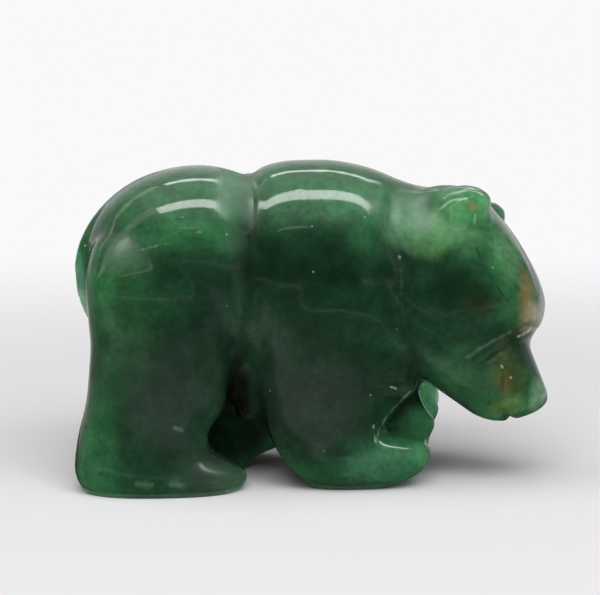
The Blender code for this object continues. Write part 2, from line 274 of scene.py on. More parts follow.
@dataclass(frozen=True)
class Loft:
    """A closed skin through cross-sections set along X or along Z."""

    axis: Axis
    slices: tuple[Slice, ...]
    round_start: float = 0.0
    round_end: float = 0.0
    smallest: float = 0.02

    def form(self) -> Form:
        """Draws the skin in rings, which stand closer together near its two ends.

        Returns:
            The skin's points and faces.
        """
        places = np.array([s.at for s in self.slices])
        table = np.array([s.numbers() for s in self.slices])
        share = 0.5 - 0.5 * np.cos(math.pi * (np.arange(RINGS + 1) + 0.25) / (RINGS + 0.5))
        at = places[0] + (places[-1] - places[0]) * share
        columns = (smooth_through(places, column, at)[:, None] for column in table.T)
        lo, hi, left, right, power, taper = columns
        size = dome(at - places[0], self.round_start) * dome(places[-1] - at, self.round_end)
        size = np.maximum(size, self.smallest)[:, None]
        angle = 2.0 * math.pi * np.arange(RING_POINTS)[None, :] / RING_POINTS
        c, s = np.cos(angle), np.sin(angle)
        u = (hi + lo) / 2.0 + (hi - lo) / 2.0 * size * np.sign(c) * np.abs(c) ** (2.0 / power)
        across = np.sign(s) * np.abs(s) ** (2.0 / power) * (1.0 - taper * c)
        v = (right + left) / 2.0 + (right - left) / 2.0 * size * across
        w = np.repeat(at[:, None], RING_POINTS, axis=1)
        axes = (w, v, u) if self.axis is Axis.ALONG else (u, v, w)
        return Form(np.stack(axes, axis=2).reshape(-1, 3), tuple(self.faces()))

    @staticmethod
    def faces() -> Iterator[tuple[int, ...]]:
        """Closes the skin.

        Returns:
            Quads between neighbouring rings, and a cap at each end.
        """
        for i in range(RINGS):
            for j in range(RING_POINTS):
                k = (j + 1) % RING_POINTS
                low, high = i * RING_POINTS, (i + 1) * RING_POINTS
                yield (low + j, low + k, high + k, high + j)
        yield tuple(range(RING_POINTS))
        yield tuple(reversed(range(RINGS * RING_POINTS, (RINGS + 1) * RING_POINTS)))


@dataclass(frozen=True)
class Egg:
    """A ball scaled to three radii and tilted about X, Y and Z in degrees."""

    centre: Place
    radii: Place
    tilt: Place = (0.0, 0.0, 0.0)

    def moved(self, by: Place) -> "Egg":
        """The egg moved aside."""
        return replace(self, centre=tuple(a + b for a, b in zip(self.centre, by)))

    def sided(self, side: Side) -> "Egg":
        """The egg as it is on one side, given as it is on the far side."""
        (x, y, z), (roll, pitch, yaw), s = self.centre, self.tilt, side.value
        return replace(self, centre=(x, s * y, z), tilt=(s * roll, pitch, s * yaw))

    def form(self) -> Form:
        """Draws the egg from a ball.

        Returns:
            The egg's points and faces.
        """
        bm = bmesh.new()
        bmesh.ops.create_uvsphere(bm, u_segments=EGG_POINTS, v_segments=EGG_RINGS, radius=1.0)
        ball = Form.read(bm)
        turn = Matrix.Identity(3)
        for axis, angle in zip("XYZ", self.tilt):
            turn = Matrix.Rotation(math.radians(angle), 3, axis) @ turn
        scaled = ball.points * np.array(self.radii)
        return replace(ball, points=scaled @ np.array(turn).T + np.array(self.centre))


class NodeBench:
    """Adds nodes to one tree and links them, so that a tree reads as a recipe."""

    def __init__(self, tree: bpy.types.NodeTree) -> None:
        """Starts on an empty tree."""
        self.tree = tree
        tree.nodes.clear()

    def add(self, kind: str, *sockets: Any, **settings: Any) -> bpy.types.Node:
        """Adds one node.

        Args:
            kind: the node's type.
            sockets: a value or an output for each input in turn, None to skip one.
            settings: the node's own options.

        Returns:
            The new node.
        """
        node = self.tree.nodes.new(kind)
        for name, value in settings.items():
            setattr(node, name, value)
        inputs = [socket for socket in node.inputs if socket.enabled]
        for socket, value in zip(inputs, sockets):
            self.plug(socket, value)
        return node

    def plug(self, socket: Socket, value: Any) -> None:
        """Gives an input a value, or links an output to it.

        Args:
            socket: the input.
            value: a value, an output, or None to leave the input as it is.
        """
        if value is None:
            return
        if isinstance(value, Socket):
            self.tree.links.new(value, socket)
        else:
            socket.default_value = value

    def set(self, node: bpy.types.Node, **values: Any) -> bpy.types.Node:
        """Fills inputs of a node by their names.

        Args:
            node: the node.
            values: a value or an output for each input, with _ for a space in its name.

        Returns:
            The node.
        """
        for name, value in values.items():
            self.plug(node.inputs[name.replace("_", " ")], value)
        return node

    def math(self, operation: str, a: Any, b: Any = None) -> Socket:
        """The result of one step of arithmetic."""
        return self.add("ShaderNodeMath", a, b, operation=operation).outputs[0]

    def vector(self, operation: str, a: Any, b: Any = None) -> Socket:
        """The vector that one step of vector arithmetic gives."""
        return self.add("ShaderNodeVectorMath", a, b, operation=operation).outputs["Vector"]

    def number(self, operation: str, a: Any, b: Any = None) -> Socket:
        """The number that one step of vector arithmetic gives."""
        return self.add("ShaderNodeVectorMath", a, b, operation=operation).outputs["Value"]

    def scaled(self, way: Any, share: Any) -> Socket:
        """A vector made longer or shorter by a share."""
        node = self.add("ShaderNodeVectorMath", way, operation="SCALE")
        return self.set(node, Scale=share).outputs["Vector"]

    def ramp(self, value: Any, low: Any, high: Any, start: Any = 0.0, end: Any = 1.0) -> Socket:
        """A smooth change from start to end as the value goes from low to high."""
        node = self.add("ShaderNodeMapRange", value, low, high, start, end, interpolation_type="SMOOTHSTEP")
        return node.outputs[0]

    def noise(self, place: Any, scale: Any, detail: float) -> Socket:
        """Noise of about 0 to 1 over a place, coarser where the scale is small."""
        return self.set(self.add("ShaderNodeTexNoise"), Vector=place, Scale=scale, Detail=detail).outputs[0]

    def blend(self, share: Any, under: Any, over: Any, kind: str = "MIX") -> Socket:
        """Lays one colour over another.

        Args:
            share: how much of the upper colour shows.
            under: the lower colour.
            over: the upper colour.
            kind: how the two are blended.

        Returns:
            The blended colour.
        """
        node = self.tree.nodes.new("ShaderNodeMix")
        node.data_type = "RGBA"
        node.blend_type = kind
        for socket, value in zip((node.inputs[0], node.inputs[6], node.inputs[7]), (share, under, over)):
            self.plug(socket, value)
        return node.outputs[2]

    def tinted(self, colour: Any, value: Socket) -> Socket:
        """A colour made lighter or darker by a value."""
        veil = self.add("ShaderNodeCombineColor", value, value, value).outputs[0]
        return self.blend(1.0, colour, veil, "MULTIPLY")


class Recipe:
    """A Geometry Nodes tree with named inputs, which works on an object's mesh."""

    def __init__(self, name: str, kinds: dict[str, str]) -> None:
        """Starts the tree.

        Args:
            name: the tree's name.
            kinds: the kind of each named input, beside the geometry and the material.
        """
        self.tree = bpy.data.node_groups.new(name, "GeometryNodeTree")
        sockets = self.tree.interface
        sockets.new_socket("Geometry", in_out="INPUT", socket_type="NodeSocketGeometry")
        self.inputs = {
            label: sockets.new_socket(label, in_out="INPUT", socket_type="NodeSocket" + kind).identifier
            for label, kind in {**kinds, "Material": "Material"}.items()}
        sockets.new_socket("Geometry", in_out="OUTPUT", socket_type="NodeSocketGeometry")
        self.bench = NodeBench(self.tree)
        self.given = self.bench.add("NodeGroupInput").outputs

    def end(self, geometry: Socket) -> None:
        """Ends the tree in plain geometry that has the material."""
        plain = self.bench.add("GeometryNodeRealizeInstances", geometry).outputs[0]
        dressed = self.bench.add("GeometryNodeSetMaterial", plain, None, self.given["Material"])
        self.bench.add("NodeGroupOutput", dressed.outputs[0])

    def put_on(self, obj: bpy.types.Object, values: dict[str, Any]) -> None:
        """Puts the tree on an object and fills its named inputs.

        Args:
            obj: the object.
            values: the value of each named input that is filled.
        """
        modifier = obj.modifiers.new(self.tree.name, "NODES")
        modifier.node_group = self.tree
        for label, value in values.items():
            modifier[self.inputs[label]] = value


def evaluated(obj: bpy.types.Object) -> bpy.types.Mesh:
    """What the object's modifiers make of it, as a mesh of its own."""
    graph = bpy.context.evaluated_depsgraph_get()
    return bpy.data.meshes.new_from_object(obj.evaluated_get(graph), depsgraph=graph)


def settle(obj: bpy.types.Object) -> None:
    """Gives the object its evaluated mesh and takes the modifiers off."""
    mesh = evaluated(obj)
    obj.modifiers.clear()
    obj.data = mesh


@dataclass(frozen=True)
class Block:
    """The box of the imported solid, which the carving fills."""

    low: Vector
    high: Vector

    @property
    def unit(self) -> float:
        """Metres in one share of the bear's length."""
        return (self.high.x - self.low.x) / SPAN

    def place(self, share: Sequence[float]) -> Vector:
        """A point of the scene from shares of the length, X from the rump's end."""
        start = self.low.x + (1.0 - SPAN) * self.unit
        return Vector((start + share[0] * self.unit, share[1] * self.unit, (share[2] - GROUND) * self.unit))


def leg_slot(rear: tuple[float, float], front: tuple[float, float], half_width: float) -> Form:
    """Draws a slot up the middle of the bear, from well under the paws.

    Args:
        rear: where it starts along the bear, and its top there.
        front: where it ends, and its top there.
        half_width: half its width.

    Returns:
        The form to take out of the stone.
    """
    ends = (Slice(at, -0.20, top, -half_width, half_width, 3.5) for at, top in (rear, front))
    return Loft(Axis.ALONG, tuple(ends)).form()


class SubPart:
    """A part of the carving: forms that are fused, and hollows taken out after."""

    def forms(self) -> list[Form]:
        """The closed forms that make it up."""
        raise NotImplementedError

    def hollows(self) -> list[Form]:
        """The forms taken out of the stone, of which it has none unless it says so."""
        return []


@dataclass(frozen=True)
class Trunk(SubPart):
    """Rump, saddle, shoulder hump and neck in one skin from tail to head."""

    rump_round: float = 0.236
    neck_round: float = 0.05

    def forms(self) -> list[Form]:
        """Draws the trunk from slices across it.

        Returns:
            The trunk's one form.
        """
        return [Loft(Axis.ALONG, (
            Slice(0.004, 0.310, 0.678, -0.226, 0.226, 2.3),
            Slice(0.240, 0.300, 0.678, -0.228, 0.228, 2.3),
            Slice(0.290, 0.260, 0.673, -0.220, 0.220, 2.3, 0.0),
            Slice(0.314, 0.140, 0.666, -0.203, 0.203, 2.3, -0.10),
            Slice(0.336, 0.138, 0.657, -0.190, 0.190, 2.3, -0.12),
            Slice(0.352, 0.146, 0.662, -0.196, 0.196, 2.3, -0.10),
            Slice(0.378, 0.148, 0.677, -0.215, 0.215, 2.3),
            Slice(0.434, 0.148, 0.687, -0.222, 0.222, 2.3),
            Slice(0.498, 0.150, 0.688, -0.224, 0.224, 2.3),
            Slice(0.552, 0.185, 0.681, -0.222, 0.222, 2.3),
            Slice(0.601, 0.190, 0.668, -0.204, 0.204, 2.2),
            Slice(0.655, 0.200, 0.645, -0.176, 0.176, 2.2),
            Slice(0.695, 0.215, 0.632, -0.166, 0.166, 2.1),
            Slice(0.749, 0.240, 0.625, -0.160, 0.160, 2.0),
            Slice(0.820, 0.270, 0.590, -0.130, 0.130, 2.0),
        ), self.rump_round, self.neck_round).form()]


@dataclass(frozen=True)
class HindLegs(SubPart):
    """Haunches, hind legs and paws.

    The far leg stands a step ahead. Its front reaches further forward from far_knee
    down, and its toe ends earlier from far_instep down; the second number of each
    is the height over which the change comes in.
    """

    inner: float = 0.010
    step: float = 0.125
    step_top: float = 0.36
    far_reach: float = 0.035
    far_knee: tuple[float, float] = (0.30, 0.16)
    far_toe: float = 0.120
    far_instep: tuple[float, float] = (0.085, 0.04)
    slot_half_width: float = 0.040
    slot_top: float = 0.170

    def leg(self, side: Side) -> Form:
        """Draws one hind leg from slices given by their back, front and outer face.

        Args:
            side: the side that the leg is on.

        Returns:
            The leg with its haunch and paw.
        """
        def cut(at: float, back: float, front: float, outer: float, power: float = 3.0) -> Slice:
            """One slice between the inner and the outer face.

            Args:
                at: its height.
                back: where its rear edge is along the bear.
                front: where its front edge is on the near leg.
                outer: how far out its outer face is.
                power: how square it is.

            Returns:
                The slice.
            """
            edges = sorted((side.value * self.inner, side.value * outer))
            if side is Side.FAR:
                front += self.far_reach * below(at, *self.far_knee)
                front -= self.far_toe * below(at, *self.far_instep)
            return Slice(at, back, front, edges[0], edges[1], power)

        leg = Loft(Axis.UP, (
            cut(0.000, 0.012, 0.286, 0.214, 2.5),
            cut(0.030, -0.010, 0.322, 0.232, 2.5),
            cut(0.050, -0.020, 0.331, 0.238, 2.6),
            cut(0.066, -0.023, 0.314, 0.238, 2.8),
            cut(0.092, -0.021, 0.262, 0.232),
            cut(0.113, -0.018, 0.249, 0.228),
            cut(0.140, -0.013, 0.250, 0.226),
            cut(0.174, -0.004, 0.270, 0.225),
            cut(0.212, 0.004, 0.294, 0.226),
            cut(0.262, 0.008, 0.299, 0.228, 2.8),
            cut(0.320, 0.012, 0.298, 0.231, 2.6),
            cut(0.378, 0.008, 0.297, 0.233, 3.0),
            cut(0.449, 0.004, 0.296, 0.230, 3.4),
            cut(0.520, 0.018, 0.292, 0.200, 2.6),
            cut(0.580, 0.066, 0.285, 0.152, 2.3),
        ), round_end=0.02).form()
        return leg.stepped(self.step, self.step_top) if side is Side.FAR else leg

    def forms(self) -> list[Form]:
        """Both hind legs."""
        return [self.leg(side) for side in Side]

    def hollows(self) -> list[Form]:
        """The slot that parts the left leg from the right one."""
        return [leg_slot((-0.10, self.slot_top), (0.36, self.slot_top), self.slot_half_width)]


@dataclass(frozen=True)
class Forelegs(SubPart):
    """Shoulders, forelegs and paws, with a scoop above each paw.

    The far leg stands a small step ahead, and its rear is cut back from far_elbow
    down; the second number is the height over which that comes in.
    """

    step: float = 0.030
    step_top: float = 0.32
    far_rear: float = 0.045
    far_elbow: tuple[float, float] = (0.32, 0.16)
    inner_face: float = 0.030
    scoop_wall: float = 0.128
    slot_half_width: float = 0.040
    slot_top: float = 0.215
    slot_drop: float = 0.02
    far_wrist: Egg = Egg((0.698, 0.135, 0.160), (0.062, 0.080, 0.062), (0.0, -20.0, 0.0))

    def leg(self, side: Side) -> Form:
        """Draws one foreleg's outer half, whose front is scooped out above the paw.

        Args:
            side: the side that the leg is on.

        Returns:
            The outer half with its shoulder and paw.
        """
        def cut(at: float, back: float, front: float, inner: float, outer: float,
                power: float = 2.8, taper: float = 0.0) -> Slice:
            """One slice between the inner and the outer face.

            Args:
                at: its height.
                back: where its rear edge is on the near leg.
                front: where its front edge is along the bear.
                inner: how far out its inner face is.
                outer: how far out its outer face is.
                power: how square it is.
                taper: how much it narrows towards the front.

            Returns:
                The slice.
            """
            edges = sorted((side.value * inner, side.value * outer))
            if side is Side.FAR:
                back += self.far_rear * below(at, *self.far_elbow)
            return Slice(at, back, front, edges[0], edges[1], power, taper)

        return Loft(Axis.UP, (
            cut(0.000, 0.474, 0.594, 0.050, 0.156),
            cut(0.022, 0.452, 0.630, 0.044, 0.176),
            cut(0.036, 0.438, 0.660, 0.040, 0.196),
            cut(0.052, 0.421, 0.685, 0.036, 0.210),
            cut(0.071, 0.405, 0.699, 0.034, 0.220, 2.8, 0.05),
            cut(0.088, 0.395, 0.705, 0.032, 0.226, 2.8, 0.06),
            cut(0.106, 0.384, 0.704, 0.030, 0.224, 2.8, 0.06),
            cut(0.118, 0.378, 0.680, 0.028, 0.222),
            cut(0.130, 0.372, 0.622, 0.026, 0.221),
            cut(0.142, 0.368, 0.614, 0.026, 0.221),
            cut(0.160, 0.363, 0.618, 0.024, 0.221),
            cut(0.195, 0.358, 0.642, 0.020, 0.223),
            cut(0.230, 0.352, 0.676, 0.016, 0.226),
            cut(0.300, 0.347, 0.672, 0.010, 0.230, 2.6),
            cut(0.380, 0.345, 0.656, 0.010, 0.231, 2.5),
            cut(0.450, 0.347, 0.644, 0.010, 0.225, 2.4),
            cut(0.520, 0.350, 0.634, 0.010, 0.204, 2.3),
            cut(0.580, 0.356, 0.620, 0.010, 0.165, 2.2),
            cut(0.620, 0.365, 0.590, 0.010, 0.120, 2.2),
        ), round_end=0.03).form()

    def inner(self, side: Side) -> Form:
        """Draws one foreleg's inner half, which is the wall behind the scoop.

        Args:
            side: the side that the leg is on.

        Returns:
            The inner half.
        """
        def cut(at: float, back: float, front: float) -> Slice:
            """One slice between the inner face and the scoop's wall."""
            edges = sorted((side.value * self.inner_face, side.value * self.scoop_wall))
            return Slice(at, back, front, edges[0], edges[1], 2.8)

        return Loft(Axis.UP, (
            cut(0.000, 0.500, 0.600),
            cut(0.036, 0.470, 0.640),
            cut(0.060, 0.450, 0.686),
            cut(0.090, 0.440, 0.706),
            cut(0.116, 0.430, 0.711),
            cut(0.132, 0.420, 0.722),
            cut(0.147, 0.420, 0.724),
            cut(0.165, 0.410, 0.707),
            cut(0.200, 0.400, 0.690),
            cut(0.260, 0.400, 0.682),
            cut(0.340, 0.400, 0.660),
        ), round_end=0.03).form()

    def forms(self) -> list[Form]:
        """Draws both forelegs, and the far wrist that fills the view under the jaw.

        Returns:
            The halves of the two legs, and the wrist.
        """
        halves = []
        for side in Side:
            step = self.step if side is Side.FAR else 0.0
            halves += [half.stepped(step, self.step_top) for half in (self.leg(side), self.inner(side))]
        return halves + [self.far_wrist.form()]

    def hollows(self) -> list[Form]:
        """The slot that parts the left leg from the right one, lower towards the front."""
        front = (0.86, self.slot_top - self.slot_drop)
        return [leg_slot((0.34, self.slot_top), front, self.slot_half_width)]


@dataclass(frozen=True)
class Head(SubPart):
    """Skull, snout, jaw and ears, turned towards the bear's right.

    The ears, their roots and the hollows are given for the far side, as drawn on a
    head that looks straight ahead; far_ear is how much the far ear is out of line.
    """

    ear: Egg = Egg((0.809, 0.120, 0.576), (0.063, 0.038, 0.047), (-12.0, -4.0, 0.0))
    far_ear: Place = (-0.004, -0.002, -0.009)
    ear_root: Egg = Egg((0.758, 0.076, 0.583), (0.078, 0.052, 0.044), (-12.0, -4.0, 0.0))
    ear_hollow: Egg = Egg((0.834, 0.162, 0.566), (0.046, 0.018, 0.030), (-18.0, -12.0, -12.0))
    snout_hollow: Egg = Egg((0.940, 0.150, 0.245), (0.075, 0.050, 0.062), (0.0, 25.0, -14.0))

    def skull(self) -> Form:
        """Draws the head from the chin up: jaw, snout, stop, brow and crown.

        Returns:
            The head without its ears.
        """
        return Loft(Axis.UP, (
            Slice(0.137, 0.856, 0.884, -0.052, 0.052, 2.2),
            Slice(0.143, 0.834, 0.904, -0.074, 0.074, 2.3, 0.05),
            Slice(0.152, 0.814, 0.930, -0.090, 0.090, 2.4, 0.10),
            Slice(0.164, 0.798, 0.953, -0.102, 0.102, 2.4, 0.16),
            Slice(0.186, 0.766, 0.969, -0.117, 0.117, 2.4, 0.23),
            Slice(0.212, 0.728, 0.961, -0.130, 0.130, 2.4, 0.28),
            Slice(0.242, 0.686, 0.949, -0.142, 0.142, 2.4, 0.30),
            Slice(0.272, 0.656, 0.937, -0.152, 0.152, 2.4, 0.28),
            Slice(0.300, 0.648, 0.927, -0.158, 0.158, 2.5, 0.26),
            Slice(0.318, 0.645, 0.932, -0.162, 0.162, 2.7, 0.22),
            Slice(0.345, 0.640, 0.950, -0.166, 0.166, 3.6, 0.24),
            Slice(0.385, 0.640, 0.957, -0.170, 0.170, 3.8, 0.26),
            Slice(0.430, 0.645, 0.945, -0.172, 0.172, 3.8, 0.26),
            Slice(0.488, 0.660, 0.917, -0.168, 0.168, 3.6, 0.24),
            Slice(0.534, 0.680, 0.889, -0.156, 0.156, 3.2, 0.18),
            Slice(0.569, 0.700, 0.862, -0.140, 0.140, 2.5, 0.08),
            Slice(0.605, 0.720, 0.828, -0.108, 0.108, 2.2),
            Slice(0.622, 0.735, 0.803, -0.082, 0.082, 2.2),
        ), round_end=0.02).form().turned()

    def forms(self) -> list[Form]:
        """Draws the skull and both ears.

        Returns:
            The skull, and an ear and its root on each side.
        """
        eggs = []
        for side in Side:
            shift = self.far_ear if side is Side.FAR else (0.0, 0.0, 0.0)
            eggs += [self.ear.moved(shift).sided(side), self.ear_root.sided(side)]
        return [self.skull()] + [egg.form().turned() for egg in eggs]

    def hollows(self) -> list[Form]:
        """The hollows beside the snout and in the ears."""
        eggs = (self.snout_hollow, self.ear_hollow)
        return [egg.sided(side).form().turned() for side in Side for egg in eggs]


@dataclass(frozen=True)
class TailStrip(SubPart):
    """The raised strip that runs down the middle of the rump.

    Thickness scales the radii, which are given at the points of the line.
    """

    sides: int = 24
    samples: int = 120
    thickness: float = 1.0
    weld: float = 1e-6
    line: Line = (
        (0.225, 0.674), (0.150, 0.656), (0.100, 0.629), (0.053, 0.586), (0.024, 0.544),
        (0.007, 0.505), (0.000, 0.468), (0.000, 0.430), (0.007, 0.390), (0.016, 0.355))
    radii: tuple[float, ...] = (0.004, 0.010, 0.014, 0.017, 0.019, 0.019, 0.018, 0.016, 0.013, 0.008)

    def path(self) -> bpy.types.Object:
        """Lays out the strip's middle line.

        Returns:
            A chain of points that carry the strip's radius.
        """
        steps = np.linspace(0.0, 1.0, len(self.line))
        at = np.linspace(0.0, 1.0, self.samples)
        xs, zs = (smooth_through(steps, np.array(column), at) for column in zip(*self.line))
        mesh = bpy.data.meshes.new("tail_line")
        points = [(x, 0.0, z) for x, z in zip(xs, zs)]
        mesh.from_pydata(points, [(i, i + 1) for i in range(len(points) - 1)], [])
        radius = mesh.attributes.new("strip_radius", "FLOAT", "POINT")
        radius.data.foreach_set("value", smooth_through(steps, np.array(self.radii), at).astype(np.float32))
        return placed("tail_strip", mesh)

    def recipe(self) -> Recipe:
        """Makes the node tree that sweeps a round section along the line.

        Returns:
            The recipe, with the thickness and the section's sides as inputs.
        """
        recipe = Recipe("strip_along_line", {"Thickness": "Float", "Sides": "Int"})
        bench, given = recipe.bench, recipe.given
        curve = bench.add("GeometryNodeMeshToCurve", given[0]).outputs[0]
        circle = bench.add("GeometryNodeCurvePrimitiveCircle", given["Sides"])
        bench.set(circle, Radius=given["Thickness"])
        radius = bench.add("GeometryNodeInputNamedAttribute", "strip_radius", data_type="FLOAT").outputs[0]
        recipe.end(bench.add("GeometryNodeCurveToMesh", curve, circle.outputs[0], radius, True).outputs[0])
        return recipe

    def forms(self) -> list[Form]:
        """Sweeps the strip and closes its seam.

        Returns:
            The strip as one closed form.
        """
        obj = self.path()
        self.recipe().put_on(obj, {"Thickness": self.thickness, "Sides": self.sides})
        bm = bmesh.new()
        bm.from_mesh(evaluated(obj))
        bmesh.ops.remove_doubles(bm, verts=bm.verts[:], dist=self.weld)
        bm.verts.index_update()
        bpy.data.objects.remove(obj)
        return [Form.read(bm)]


@dataclass(frozen=True)
class Stroke:
    """A line that a wheel has cut into the stone, or left standing.

    The path is (x, z) from the side, (x, y) from the top or from below, or (y, z)
    from the front or the back. A path down the side has a ledge's low part behind
    it, and one that rises to the front has it below; the far side is a mirror image.
    """

    path: Line
    width: float
    depth: float
    cut: Cut = Cut.VALLEY
    approach: Approach = Approach.SIDE
    on_head: bool = False
    ground: float = 0.0
    run_out: float = 0.02

    def starts(self, side: Side) -> tuple[np.ndarray, np.ndarray]:
        """Where rays towards the stone start, well outside it, and their direction.

        Args:
            side: the side that the line is on.

        Returns:
            The points, closely spaced along the path, and one direction.
        """
        corners = np.array(self.path)
        gaps = np.linalg.norm(np.diff(corners, axis=0), axis=1)
        along = np.concatenate(([0.0], np.cumsum(gaps)))
        at = np.linspace(0.0, along[-1], max(int(along[-1] / LINE_STEP), 3))
        a, b = (smooth_through(along, column, at) for column in corners.T)
        one, s = np.ones_like(a), side.value
        columns, inward = {
            Approach.SIDE: ((a, s * 0.5 * one, b), (0.0, -s, 0.0)),
            Approach.TOP: ((a, s * -b, one), (0.0, 0.0, -1.0)),
            Approach.FRONT: ((1.3 * one, s * -a, b), (-1.0, 0.0, 0.0)),
            Approach.BACK: ((-0.3 * one, s * -a, b), (1.0, 0.0, 0.0)),
            Approach.BELOW: ((a, s * -b, -0.3 * one), (0.0, 0.0, 1.0)),
        }[self.approach]
        points, direction = np.stack(columns, axis=1), np.array(inward)
        if self.on_head:
            points, direction = with_head(points), head_rotation() @ direction
        return points, direction

    def section(self, across: np.ndarray) -> np.ndarray:
        """How much of the depth is taken at each place across the line.

        Args:
            across: from -1 at the rear or left edge to 1 at the other.

        Returns:
            The share of the depth, negative where stone stands proud.
        """
        rounded = (1.0 - np.minimum(across ** 2, 1.0)) ** 2
        if self.cut is Cut.VALLEY:
            return rounded
        if self.cut is Cut.NOTCH:
            return (1.0 - np.minimum(np.abs(across), 1.0)) ** 1.5
        if self.cut is Cut.RIDGE:
            return -rounded
        low = np.where(across < 0.0, np.maximum(1.0 + across, 0.0) ** 1.6, 0.0)
        lip = np.where(across >= 0.0, np.maximum(1.0 - across / LIP_REACH, 0.0) ** 2, 0.0)
        return low * soft_step(-across / 0.22) - LIP_SHARE * lip * soft_step(across / 0.12)


@dataclass(frozen=True)
class Facet:
    """A place that a wheel has ground nearly flat."""

    centre: Place
    facing: Place
    reach: float
    on_head: bool = False

    def plane(self, side: Side) -> tuple[np.ndarray, np.ndarray]:
        """Puts the facet on one side of the bear.

        Args:
            side: the side.

        Returns:
            The facet's middle, and the direction that it faces.
        """
        mirror = np.array((1.0, -side.value, 1.0))
        centre = np.array(self.centre) * mirror
        facing = np.array(self.facing) * mirror
        facing = facing / np.linalg.norm(facing)
        if self.on_head:
            centre, facing = with_head(centre), head_rotation() @ facing
        return centre, facing


@dataclass(frozen=True)
class Frost:
    """A rounded place that was left matt, most so in its middle."""

    centre: Place
    radii: Place
    strength: float

    def middle(self, side: Side) -> np.ndarray:
        """Its middle on one side of the bear."""
        return np.array(self.centre) * np.array((1.0, -side.value, 1.0))


